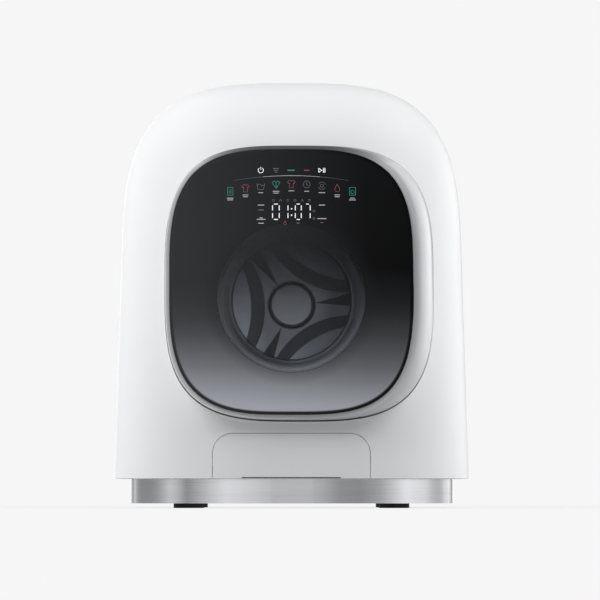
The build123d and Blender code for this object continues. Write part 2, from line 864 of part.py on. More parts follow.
with BuildPart() as door_gasket:
    add(turned([
        (pocket_floor - 2, seal_radius),
        (tub_front_y + 1, seal_radius),
        (tub_front_y + 1, mouth_radius - 0.2),
        (mouth_front - 0.5, mouth_radius - 0.2),
        (mouth_front - 2.5, mouth_radius + 2),
        (lock_front + 5, mouth_radius - 0.2),
        (lock_front + 2, seal_radius + gasket_lip),
        (lock_front, seal_radius + gasket_lip),
        (lock_front, hatch_radius - 0.2),
        (pocket_floor, hatch_radius - 0.2),
        (pocket_floor, seal_radius + gasket_lip),
        (pocket_floor - 2, seal_radius + gasket_lip),
    ]))

with BuildPart() as drum:
    add(turned([
        (drum_front, drum_mouth),
        (drum_front, drum_radius - 9),
        (drum_front + 3, drum_radius - 3),
        (drum_front + 9, drum_radius),
        (drum_back_y + drum_sheet, drum_radius),
        (drum_back_y + drum_sheet, shaft_radius),
        (drum_back_y, shaft_radius),
        (drum_back_y, drum_radius - drum_sheet),
        (drum_front + 9, drum_radius - drum_sheet),
        (drum_front + 3 + drum_sheet, drum_radius - 3 - drum_sheet),
        (drum_front + drum_sheet, drum_radius - 9 - drum_sheet),
        (drum_front + drum_sheet, drum_mouth + drum_sheet),
        (drum_front + 6, drum_mouth + drum_sheet),
        (drum_front + 6, drum_mouth),
    ]))

lifter_height = 24.0
lifter_width = 30.0
lifter_crown = 12.0
lifter_ends = 10.0

with BuildPart() as lifters:
    with BuildSketch(upright(drum_back_y - back_disc - lifter_ends)):
        with Locations((0, drum_z)):
            with PolarLocations(drum_radius - drum_sheet - lifter_height / 2 - 2, 3, start_angle=30):
                Trapezoid(lifter_width, lifter_height + 8, 70, rotation=90)
    extrude(amount=drum_back_y - back_disc - 2 * lifter_ends - drum_front)
    add(
        turned(ring_points(drum_front - 1, drum_back_y, drum_radius - drum_sheet, drum_radius + 40)),
        mode=Mode.SUBTRACT,
    )


def polar(radius, angle):
    """A point of the drum back, by its distance and direction from the axis."""
    turn = math.radians(angle)
    return (radius * math.cos(turn), drum_z + radius * math.sin(turn))


def pad_outline(arm, nearest, half_angle, rim):
    """A lens between two arms: the rim outside and an arc that bows towards the hub inside."""
    first = arm + half_angle
    last = arm + 120 - half_angle
    middle = arm + 60
    with BuildSketch() as face:
        with BuildLine():
            ThreePointArc(polar(rim, first), polar(rim, middle), polar(rim, last))
            ThreePointArc(polar(rim, last), polar(nearest, middle), polar(rim, first))
        make_face()
    return face.sketch


with BuildPart() as drum_back:
    disc_front = drum_back_y - back_disc
    with BuildSketch(upright(drum_back_y)):
        with Locations((0, drum_z)):
            Circle(drum_radius - drum_sheet)
    extrude(amount=back_disc)
    for arm in (arm_turn, arm_turn + 120, arm_turn + 240):
        with BuildSketch(upright(disc_front)):
            add(pad_outline(arm, pad_foot, pad_foot_angle, pad_outer))
        with BuildSketch(upright(disc_front - pad_height)):
            add(pad_outline(arm, pad_crest, pad_crest_angle, pad_outer))
        loft()
    with BuildSketch(upright(disc_front)):
        for arm in (arm_turn, arm_turn + 120, arm_turn + 240):
            centre = arm + groove_turn
            with BuildLine():
                Polyline(
                    polar(hub_ring, centre),
                    polar(pad_outer + 3, centre - groove_half_angle),
                    polar(pad_outer + 3, centre + groove_half_angle),
                    close=True,
                )
            make_face()
    extrude(amount=-groove_depth, mode=Mode.SUBTRACT)
    with BuildSketch(upright(drum_back_y)):
        with Locations((0, drum_z)):
            Circle(hub_ring)
    extrude(amount=hub_height + pad_height, mode=Mode.SUBTRACT)

with BuildPart() as hub_cap:
    with BuildSketch(upright(drum_back_y)):
        with Locations((0, drum_z)):
            Circle(hub_radius)
    extrude(amount=hub_height)
    fillet(hub_cap.faces().sort_by(Axis.Y)[0].edges(), 2.0)

spider_back = drum_back_y + 13.0
spider_hub = 22.0
spider_arm = 26.0

with BuildPart() as spider:
    with BuildSketch(upright(spider_back)):
        with Locations((0, drum_z)):
            Circle(spider_hub)
            with PolarLocations(drum_radius / 2, 3, start_angle=arm_turn):
                Trapezoid(spider_arm, drum_radius - 4, 86, rotation=-90)
        with Locations((0, drum_z)):
            Circle(shaft_radius, mode=Mode.SUBTRACT)
    extrude(amount=spider_back - drum_back_y - drum_sheet)
    chamfer(spider.faces().sort_by(Axis.Y)[-1].outer_wire().edges(), 1.5)

with BuildPart() as drum_shaft:
    with BuildSketch(upright(drum_back_y)):
        with Locations((0, drum_z)):
            Circle(shaft_radius)
    extrude(amount=drum_back_y - rotor_back)

shaft_bore = shaft_radius + running

with BuildPart() as shaft_seal:
    add(turned(ring_points(housing_front + 2, front_bearing_y - 2, shaft_bore, bearing_outer)))

bearings = {}
for bearing_name, bearing_y in (("front_bearing", front_bearing_y), ("rear_bearing", rear_bearing_y)):
    with BuildPart() as bearing:
        add(turned(ring_points(bearing_y, bearing_y + bearing_width, shaft_bore, bearing_outer)))
        with BuildSketch(upright(bearing_y)):
            with Locations((0, drum_z)):
                Circle(bearing_outer - 3)
                Circle(shaft_bore + 3, mode=Mode.SUBTRACT)
        extrude(amount=-1, mode=Mode.SUBTRACT)
    bearings[bearing_name] = bearing

with BuildPart() as bearing_housing:
    add(turned([
        (housing_front, bearing_outer),
        (front_bearing_y + bearing_width, bearing_outer),
        (front_bearing_y + bearing_width, bearing_outer - 3),
        (rear_bearing_y, bearing_outer - 3),
        (rear_bearing_y, bearing_outer),
        (housing_back, bearing_outer),
        (housing_back, housing_radius - 3),
        (tub_back_y + 8, housing_radius),
        (tub_back_y + 4, stator_inner - 4),
        (tub_back_y, stator_inner - 4),
        (tub_back_y, housing_radius),
        (housing_front, housing_radius),
    ]))

slot_count = 12
slot_width = 6.0

with BuildPart() as stator:
    add(turned([
        (stator_front, housing_radius),
        (stator_front + 4, housing_radius),
        (stator_front + 4, stator_inner),
        (stator_back, stator_inner),
        (stator_back, stator_outer),
        (stator_front, stator_outer),
    ]))
    with BuildSketch(upright(stator_back)):
        with Locations((0, drum_z)):
            with PolarLocations(stator_outer - 8, slot_count):
                Rectangle(20, slot_width)
    extrude(amount=stator_back - stator_front - 4, mode=Mode.SUBTRACT)

rotor_inner = stator_outer + rotor_air_gap
rotor_outer = rotor_inner + rotor_wall
rotor_plate = 4.0

with BuildPart() as rotor:
    add(turned([
        (stator_front, rotor_inner),
        (rotor_back - rotor_plate, rotor_inner),
        (rotor_back - rotor_plate, shaft_radius + 10),
        (housing_back + 1, shaft_radius + 10),
        (housing_back + 1, shaft_radius),
        (rotor_back, shaft_radius),
        (rotor_back, rotor_outer - 3),
        (rotor_back - 3, rotor_outer),
        (stator_front, rotor_outer),
    ]))
    with BuildSketch(upright(rotor_back)):
        with Locations((0, drum_z)):
            with PolarLocations(56, 8):
                SlotOverall(36, 12)
    extrude(amount=rotor_plate, mode=Mode.SUBTRACT)

with BuildPart() as rotor_bolt:
    with BuildSketch(upright(rotor_back)):
        with Locations((0, drum_z)):
            RegularPolygon(shaft_radius + 2, 6)
    extrude(amount=-8)

# ==== Suspension ===============================================================================================
foot_inner = upright_x - 31.0

with BuildPart() as uprights:
    for side in (-1, 1):
        with BuildSketch(Plane.XY.offset(floor_top)):
            with Locations((side * (upright_x - upright_flange / 2), hang_y)):
                Rectangle(upright_flange, 2 * upright_half_y)
            with Locations((side * (upright_x - upright_sheet - upright_flange / 2), hang_y)):
                Rectangle(upright_flange, 2 * (upright_half_y - upright_sheet), mode=Mode.SUBTRACT)
        extrude(amount=upright_top - floor_top)
        with BuildSketch(Plane.XY.offset(floor_top)):
            with Locations((side * (foot_inner + upright_x) / 2, hang_y)):
                Rectangle(upright_x - foot_inner, 2 * upright_half_y)
        extrude(amount=upright_sheet)
        tab_inner = spring_x - spring_radius - 1
        with BuildSketch(Plane.XY.offset(spring_top)):
            with Locations((side * (tab_inner + upright_x) / 2, hang_y)):
                Rectangle(upright_x - tab_inner, 2 * upright_half_y)
        extrude(amount=upright_sheet)

coil_count = 9
wire = 2.0

with BuildPart() as springs:
    pitch = (spring_top - spring_bottom) / coil_count
    outside = []
    for coil in range(coil_count):
        level = spring_bottom + coil * pitch
        outside.append((spring_radius - wire, level))
        outside.append((spring_radius, level + pitch / 2))
    outside.append((spring_radius - wire, spring_top))
    for side in (-1, 1):
        with BuildSketch(Plane(origin=(side * spring_x, hang_y, 0), x_dir=(1, 0, 0), z_dir=(0, -1, 0))):
            with BuildLine():
                Polyline(
                    *outside,
                    (spring_radius - 2 * wire, spring_top),
                    (spring_radius - 2 * wire, spring_bottom),
                    close=True,
                )
            make_face()
        revolve(axis=Axis((side * spring_x, hang_y, 0), (0, 0, 1)))

damper_foot = 5.0

with BuildPart() as damper_cylinders:
    with BuildSketch(Plane.XY.offset(floor_top)):
        with Locations((-damper_x, damper_y), (damper_x, damper_y)):
            Circle(damper_radius)
    extrude(amount=damper_top - floor_top)
    with BuildSketch(Plane.XY.offset(floor_top + damper_foot)):
        with Locations((-damper_x, damper_y), (damper_x, damper_y)):
            Circle(damper_bore)
    extrude(amount=damper_top - floor_top, mode=Mode.SUBTRACT)

with BuildPart() as damper_rods:
    with BuildSketch(Plane.XY.offset(rod_bottom)):
        with Locations((-damper_x, damper_y), (damper_x, damper_y)):
            Circle(rod_radius)
    extrude(amount=rod_top - rod_bottom)

# ==== Drying air path ============================================================================================
deck_top = deck_z + duct_height
duct_mid = (duct_front + duct_back) / 2
duct_width = duct_back - duct_front


def fan_plan(shrink):
    """Plan of the fan casing: a round scroll with a straight outlet towards +X."""
    with BuildSketch() as face:
        with Locations((fan_x, fan_y)):
            Circle(fan_casing_radius - shrink)
        with Locations((fan_x / 2, duct_mid)):
            Rectangle(-fan_x + 2 * shrink, duct_width - 2 * shrink)
        with Locations((50, duct_mid)):
            Rectangle(100, 2 * duct_width, mode=Mode.SUBTRACT)
    return face.sketch


def fan_duct(shrink):
    """Plan of the fan casing's inside, run out through its open outlet."""
    with BuildSketch() as face:
        with Locations((fan_x, fan_y)):
            Circle(fan_casing_radius - shrink)
        with Locations((fan_x / 2 + 1, duct_mid)):
            Rectangle(-fan_x + 2, duct_width - 2 * shrink)
    return face.sketch


with BuildPart() as fan_housing:
    with BuildSketch(Plane.XY.offset(deck_z)):
        add(fan_plan(0))
    extrude(amount=duct_height)
    with BuildSketch(Plane.XY.offset(deck_z + duct_wall)):
        add(fan_duct(duct_wall))
    extrude(amount=duct_height - 2 * duct_wall, mode=Mode.SUBTRACT)
    with BuildSketch(Plane.XY.offset(deck_z)):
        with Locations((fan_x, fan_y)):
            Circle(fan_inlet)
    extrude(amount=duct_wall, mode=Mode.SUBTRACT)
    with BuildSketch(Plane.XY.offset(deck_top - duct_wall)):
        with Locations((fan_x, fan_y)):
            Circle(fan_shaft + 1)
    extrude(amount=duct_wall, mode=Mode.SUBTRACT)

blade_count = 10
fan_gap = 2.0
impeller_bottom = deck_z + duct_wall + fan_gap
impeller_top = deck_top - duct_wall - fan_gap
shaft_in_motor = 8.0

with BuildPart() as fan_impeller:
    with BuildSketch(Plane.XY.offset(impeller_top - 2)):
        with Locations((fan_x, fan_y)):
            Circle(fan_radius)
    extrude(amount=2)
    with BuildSketch(Plane.XY.offset(impeller_bottom)):
        with Locations((fan_x, fan_y)):
            with PolarLocations((fan_radius + fan_inlet) / 2, blade_count):
                Rectangle(fan_radius - fan_inlet, 2, rotation=35)
    extrude(amount=impeller_top - 2 - impeller_bottom)
    with BuildSketch(Plane.XY.offset(impeller_top - 12)):
        with Locations((fan_x, fan_y)):
            Circle(2 * fan_shaft)
    extrude(amount=10)
    with BuildSketch(Plane.XY.offset(impeller_top - 2)):
        with Locations((fan_x, fan_y)):
            Circle(fan_shaft)
    extrude(amount=deck_top + shaft_in_motor - impeller_top + 2)

with BuildPart() as fan_motor:
    with BuildSketch(Plane.XY.offset(deck_top)):
        with Locations((fan_x, fan_y)):
            Circle(fan_motor_radius)
    extrude(amount=fan_motor_height)
    fillet(fan_motor.faces().sort_by(Axis.Z)[-1].edges(), 3)
    with BuildSketch(Plane.XY.offset(deck_top)):
        with Locations((fan_x, fan_y)):
            Circle(fan_shaft + running)
    extrude(amount=shaft_in_motor + 1, mode=Mode.SUBTRACT)

chute_width = 39.0

with BuildPart() as heater_duct:
    for shrink, mode in ((0, Mode.ADD), (duct_wall, Mode.SUBTRACT)):
        with BuildSketch(upright(duct_front + shrink)):
            with BuildLine():
                Polyline(
                    (0 if shrink == 0 else -1, deck_z + shrink),
                    (0 if shrink == 0 else -1, deck_top - shrink),
                    (duct_end - 14 - shrink / 2, deck_top - shrink),
                    (duct_end - shrink, deck_top - 14 - shrink / 2),
                    (duct_end - shrink, drum_z),
                    (duct_end - chute_width + shrink, drum_z),
                    (duct_end - chute_width + shrink, deck_z + shrink),
                    close=True,
                )
            make_face()
        extrude(amount=-(duct_width - 2 * shrink), mode=mode)
    add(turned(ring_points(duct_front - 1, duct_back + 1, 0, tub_outer)), mode=Mode.SUBTRACT)

with BuildPart() as heater_element:
    with BuildSketch(Plane.YZ.offset(14)):
        with Locations((duct_mid, deck_z + duct_height / 2)):
            Rectangle(duct_width - 2 * duct_wall, 6)
            with GridLocations(5, 1, 7, 1):
                Rectangle(1.5, duct_height - 2 * duct_wall)
    extrude(amount=44)

# ==== Drawer, pump, hoses ===========================================================================================
drawer_plane_back = casing_front + drawer_sag + wall + 2.5

with BuildPart() as drawer_front:
    add(outer_form)
    with BuildSketch(upright(drawer_plane_back)):
        add(drawer_outline(0))
    extrude(amount=20, mode=Mode.INTERSECT)
    add(inner_form, mode=Mode.SUBTRACT)
    with BuildSketch(upright(drawer_plane_back)):
        with Locations((0, casing_base)):
            Rectangle(2 * notch_half, 2 * notch_height)
    extrude(amount=20, mode=Mode.SUBTRACT)

tray_bottom = floor_top + 2.6
tray_front = casing_front
tray_lip = drawer_sag + 4.5
compartments = 3
cell = (2 * tray_half - (compartments + 1) * tray_wall) / compartments

with BuildPart() as drawer_tray:
    with BuildSketch(Plane.XY.offset(tray_bottom)):
        with Locations((0, (tray_front + tray_back) / 2)):
            Rectangle(2 * tray_half, tray_back - tray_front)
    extrude(amount=tray_top - tray_bottom)
    with BuildSketch(Plane.XY.offset(tray_bottom + tray_wall)):
        with Locations((0, (tray_front + tray_lip + tray_back - tray_wall) / 2)):
            with GridLocations(cell + tray_wall, 1, compartments, 1):
                RectangleRounded(cell, tray_back - tray_wall - tray_front - tray_lip, 8)
    extrude(amount=tray_top - tray_bottom, mode=Mode.SUBTRACT)
    add(inner_form, mode=Mode.INTERSECT)

bay_inner = tray_half + 1.0
bay_wall = 2.0
bay_front = casing_front + wall + drawer_sag + 1.5
bay_top = tray_top + 3

with BuildPart() as drawer_bay:
    with BuildSketch(Plane.XY.offset(floor_top)):
        with Locations((0, (bay_front + bay_back) / 2)):
            Rectangle(2 * (bay_inner + bay_wall), bay_back - bay_front)
    extrude(amount=bay_top + bay_wall - floor_top)
    with BuildSketch(Plane.XY.offset(floor_top + bay_wall)):
        with Locations((0, (bay_front + bay_back) / 2 - bay_wall)):
            Rectangle(2 * bay_inner, bay_back - bay_front)
    extrude(amount=bay_top - floor_top - bay_wall, mode=Mode.SUBTRACT)
    with BuildSketch(upright(bay_back)):
        with Locations((0, pump_z)):
            Circle(pump_bore)
        with Locations((-60, pump_z)):
            Circle(hose_radius - 2)
    extrude(amount=bay_wall, mode=Mode.SUBTRACT)
    with BuildSketch(upright(bay_back)):
        with Locations((-60, pump_z)):
            Circle(hose_radius)
            Circle(hose_radius - 2, mode=Mode.SUBTRACT)
    extrude(amount=-5)

with BuildPart() as pump_body:
    add(turned([
        (pump_front, pump_bore),
        (pump_back - 3, pump_bore),
        (pump_back - 3, fan_shaft + running),
        (pump_back, fan_shaft + running),
        (pump_back, pump_radius),
        (pump_front, pump_radius),
    ], level=pump_z))
    with BuildSketch(Plane.XY.offset(floor_top)):
        with Locations((0, (pump_front + pump_back) / 2)):
            Rectangle(24, 40)
    extrude(amount=pump_z - pump_radius + 3 - floor_top)
    with BuildSketch(Plane.XY.offset(pump_z)):
        with Locations((0, sump_y)):
            Circle(sump_radius)
    extrude(amount=pump_radius + 3)
    with BuildSketch(Plane.YZ.offset(0)):
        with Locations((pump_back - 12, pump_z)):
            Circle(hose_radius)
    extrude(amount=pump_radius + 8)
    add(turned(ring_points(pump_front, pump_back - 3, 0, pump_bore), level=pump_z), mode=Mode.SUBTRACT)
    with BuildSketch(Plane.XY.offset(pump_z)):
        with Locations((0, sump_y)):
            Circle(sump_radius - tub_wall)
    extrude(amount=pump_radius + 3, mode=Mode.SUBTRACT)
    with BuildSketch(Plane.YZ.offset(0)):
        with Locations((pump_back - 12, pump_z)):
            Circle(hose_radius - 2)
    extrude(amount=pump_radius + 8, mode=Mode.SUBTRACT)

impeller_front = pump_back - 17.0
impeller_back = pump_back - 7.0

with BuildPart() as pump_impeller:
    with BuildSketch(upright(impeller_back)):
        with Locations((0, pump_z)):
            Circle(fan_shaft + 2)
            with PolarLocations(7, 4):
                Rectangle(10, 2)
    extrude(amount=impeller_back - impeller_front)
    with BuildSketch(upright(pump_back + 10)):
        with Locations((0, pump_z)):
            Circle(fan_shaft)
    extrude(amount=pump_back + 10 - impeller_back)

with BuildPart() as pump_motor:
    add(turned([
        (pump_back, fan_shaft + running),
        (pump_back + 11, fan_shaft + running),
        (pump_back + 11, 0),
        (pump_motor_back, 0),
        (pump_motor_back, pump_motor_radius - 3),
        (pump_motor_back - 3, pump_motor_radius),
        (pump_back, pump_motor_radius),
    ], level=pump_z))

basket_radius = 13.0
grip_front = pump_front - 15.0

with BuildPart() as filter_plug:
    add(turned([
        (pump_front - 8, 0),
        (pump_front - 8, pump_radius - 4),
        (pump_front - 6, pump_radius - 2),
        (pump_front, pump_radius - 2),
        (pump_front, basket_radius),
        (pump_front + 18, basket_radius),
        (pump_front + 18, basket_radius - 2),
        (pump_front, basket_radius - 2),
        (pump_front, 0),
    ], level=pump_z))
    with BuildSketch(upright(pump_front - 8)):
        with Locations((0, pump_z)):
            Rectangle(26, 5)
    extrude(amount=pump_front - 8 - grip_front)

with BuildPart() as sump_hose:
    with BuildSketch(Plane.XY.offset(pump_z + pump_radius)):
        with Locations((0, sump_y)):
            Circle(sump_radius + 3)
            Circle(sump_radius + 0.1, mode=Mode.SUBTRACT)
    extrude(amount=drum_z - tub_outer - 1 - pump_z - pump_radius)

drain_start = pump_radius + 8
with BuildPart() as drain_hose:
    add(hose([
        (drain_start, pump_back - 12, pump_z),
        (drain_start + 34, pump_back - 12, pump_z),
        (spigot_x - 28, pump_back + 35, pump_z),
        (spigot_x, casing_back - 66, spigot_z),
        (spigot_x, casing_back - 16, spigot_z),
    ], hose_radius, hose_radius - 2, 20))

with BuildPart() as drain_spigot:
    with BuildSketch(upright(casing_back - 16)):
        with Locations((spigot_x, spigot_z)):
            Circle(spigot_radius + 2)
    extrude(amount=-14)
    with BuildSketch(upright(casing_back - 2)):
        with Locations((spigot_x, spigot_z)):
            Circle(spigot_radius + 6)
    extrude(amount=casing_back - 2 - cover_back)
    with BuildSketch(upright(cover_back)):
        with Locations((spigot_x, spigot_z)):
            Circle(spigot_radius)
    extrude(amount=-spigot_reach)
    with BuildSketch(upright(cover_back + spigot_reach)):
        with Locations((spigot_x, spigot_z)):
            Circle(spigot_radius - 3)
    extrude(amount=60, mode=Mode.SUBTRACT)

inlet_shoulder = cover_back + spigot_reach - 14
valve_front = casing_back - 46.0

with BuildPart() as inlet_valve:
    with BuildSketch(upright(casing_back - 2)):
        with Locations((inlet_x, inlet_z)):
            RectangleRounded(36, 40, 6)
    extrude(amount=casing_back - 2 - valve_front)
    with BuildSketch(upright(casing_back - 2)):
        with Locations((inlet_x, inlet_z)):
            Circle(inlet_radius + 3)
    extrude(amount=casing_back - 2 - inlet_shoulder)
    with BuildSketch(upright(inlet_shoulder)):
        with Locations((inlet_x, inlet_z)):
            Circle(inlet_radius)
    extrude(amount=inlet_shoulder - cover_back - spigot_reach)
    with BuildSketch(upright(cover_back + spigot_reach)):
        with Locations((inlet_x, inlet_z)):
            Circle(inlet_radius - 3)
    extrude(amount=20, mode=Mode.SUBTRACT)
    with BuildSketch(Plane.XY.offset(inlet_z - 20)):
        with Locations((inlet_x, valve_front + 10)):
            Circle(hose_radius)
    extrude(amount=-6)

with BuildPart() as inlet_hose:
    add(hose([
        (inlet_x, valve_front + 10, inlet_z - 26),
        (inlet_x, valve_front + 10, inlet_z - 130),
        (inlet_x - 8, valve_front, 180),
        (inlet_x - 4, valve_front - 20, 90),
        (-90, bay_back + 95, pump_z),
        (-60, bay_back + 45, pump_z),
        (-60, bay_back + 5, pump_z),
    ], hose_radius, hose_radius - 2, 18))

with BuildPart() as power_gland:
    with BuildSketch(upright(casing_back - 4)):
        with Locations((gland_x, gland_z)):
            Circle(gland_radius + 4)
    extrude(amount=-4)
    with BuildSketch(upright(casing_back)):
        with Locations((gland_x, gland_z)):
            Circle(gland_radius)
    extrude(amount=-10)
    fillet(power_gland.faces().sort_by(Axis.Y)[-1].edges(), 2)
    with BuildSketch(upright(casing_back + 10)):
        with Locations((gland_x, gland_z)):
            Circle(4)
    extrude(amount=20, mode=Mode.SUBTRACT)

board_left = 10.0
board_right = 130.0
board_bottom = 372.0
board_top = 428.0
board_depth = 28.0

with BuildPart() as board_housing:
    with BuildSketch(upright(rail_front)):
        with Locations(((board_left + board_right) / 2, (board_bottom + board_top) / 2)):
            RectangleRounded(board_right - board_left, board_top - board_bottom, 4)
    extrude(amount=board_depth)
    with BuildSketch(upright(rail_front - 2)):
        with Locations(((board_left + board_right) / 2, (board_bottom + board_top) / 2)):
            Rectangle(board_right - board_left - 4, board_top - board_bottom - 4)
    extrude(amount=board_depth - 4, mode=Mode.SUBTRACT)

with BuildPart() as control_board:
    with BuildSketch(upright(rail_front - 2)):
        with Locations(((board_left + board_right) / 2, (board_bottom + board_top) / 2)):
            Rectangle(board_right - board_left - 6, board_top - board_bottom - 6)
    extrude(amount=2)
    with BuildSketch(upright(rail_front - 4)):
        with Locations((board_left + 30, (board_bottom + board_top) / 2)):
            Rectangle(24, 30)
        with Locations((board_right - 30, (board_bottom + board_top) / 2)):
            with GridLocations(22, 22, 2, 2):
                Circle(7)
    extrude(amount=14)

# ==== Files ===========================================================================================================
pieces = {
    "feet": feet,
    "foot_studs": foot_studs,
    "plinth": plinth,
    "base_tray": base_tray,
    "casing": casing,
    "rear_cover": rear_cover,
    "wall_rails": wall_rails,
    "door_ring": door_ring,
    "door_glass": door_glass,
    "door_frame": door_frame,
    "door_bowl": door_bowl,
    "display_module": display_module,
    "hinge_arm": hinge_arm,
    "hinge_pin": hinge_pin,
    "latch_hook": latch_hook,
    "latch_pin": latch_pin,
    "door_lock": door_lock,
    "lock_bolt": lock_bolt,
    "door_gasket": door_gasket,
    "tub_front": tub_front,
    "tub_rear": tub_rear,
    "counterweight": counterweight,
    "drum": drum,
    "lifters": lifters,
    "drum_back": drum_back,
    "hub_cap": hub_cap,
    "spider": spider,
    "drum_shaft": drum_shaft,
    "shaft_seal": shaft_seal,
    **bearings,
    "bearing_housing": bearing_housing,
    "stator": stator,
    "rotor": rotor,
    "rotor_bolt": rotor_bolt,
    "uprights": uprights,
    "springs": springs,
    "damper_cylinders": damper_cylinders,
    "damper_rods": damper_rods,
    "fan_housing": fan_housing,
    "fan_impeller": fan_impeller,
    "fan_motor": fan_motor,
    "heater_duct": heater_duct,
    "heater_element": heater_element,
    "drawer_front": drawer_front,
    "drawer_tray": drawer_tray,
    "drawer_bay": drawer_bay,
    "pump_body": pump_body,
    "pump_impeller": pump_impeller,
    "pump_motor": pump_motor,
    "filter_plug": filter_plug,
    "sump_hose": sump_hose,
    "drain_hose": drain_hose,
    "drain_spigot": drain_spigot,
    "inlet_valve": inlet_valve,
    "inlet_hose": inlet_hose,
    "power_gland": power_gland,
    "board_housing": board_housing,
    "control_board": control_board,
}

os.makedirs("parts", exist_ok=True)
for name, piece in pieces.items():
    piece.part.label = name
    export_step(piece.part, f"parts/{name}.step")
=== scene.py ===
import json
import math

import bmesh
import bpy
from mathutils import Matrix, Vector


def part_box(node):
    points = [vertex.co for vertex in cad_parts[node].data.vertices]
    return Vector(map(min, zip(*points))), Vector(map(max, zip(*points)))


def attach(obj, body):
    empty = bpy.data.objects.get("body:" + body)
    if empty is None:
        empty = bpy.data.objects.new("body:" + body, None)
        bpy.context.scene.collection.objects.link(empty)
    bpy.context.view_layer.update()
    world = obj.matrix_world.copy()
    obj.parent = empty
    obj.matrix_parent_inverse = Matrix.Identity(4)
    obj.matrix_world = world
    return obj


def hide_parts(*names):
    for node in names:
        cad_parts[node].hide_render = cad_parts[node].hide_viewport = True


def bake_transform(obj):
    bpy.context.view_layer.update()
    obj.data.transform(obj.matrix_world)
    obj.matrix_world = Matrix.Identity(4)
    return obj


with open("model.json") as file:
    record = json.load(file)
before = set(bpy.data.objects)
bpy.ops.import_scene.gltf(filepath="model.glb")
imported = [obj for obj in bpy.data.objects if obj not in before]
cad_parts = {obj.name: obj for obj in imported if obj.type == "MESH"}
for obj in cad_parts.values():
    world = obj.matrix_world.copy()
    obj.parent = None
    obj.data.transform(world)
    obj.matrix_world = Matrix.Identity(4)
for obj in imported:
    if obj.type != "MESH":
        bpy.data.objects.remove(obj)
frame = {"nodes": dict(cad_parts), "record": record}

nodes = frame["nodes"]
scene = bpy.context.scene
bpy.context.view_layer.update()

# ==== Sizes shared with the CAD, in metres ========================================================
drum_z = 0.250
window_radius = 0.0885
# The glass is a rounded square, domed to the radius glass_crown, and comes forward to glass_apex.
glass_z = 0.2693
glass_half_w = 0.1456
glass_half_h = 0.1584
glass_apex = -0.200
glass_crown = 2.0
# The whole door with its ring, and the power that rounds both outlines.
door_x = 0.0094
door_z = 0.2686
door_half_w = 0.1604
door_half_h = 0.1643
door_power = 3.3


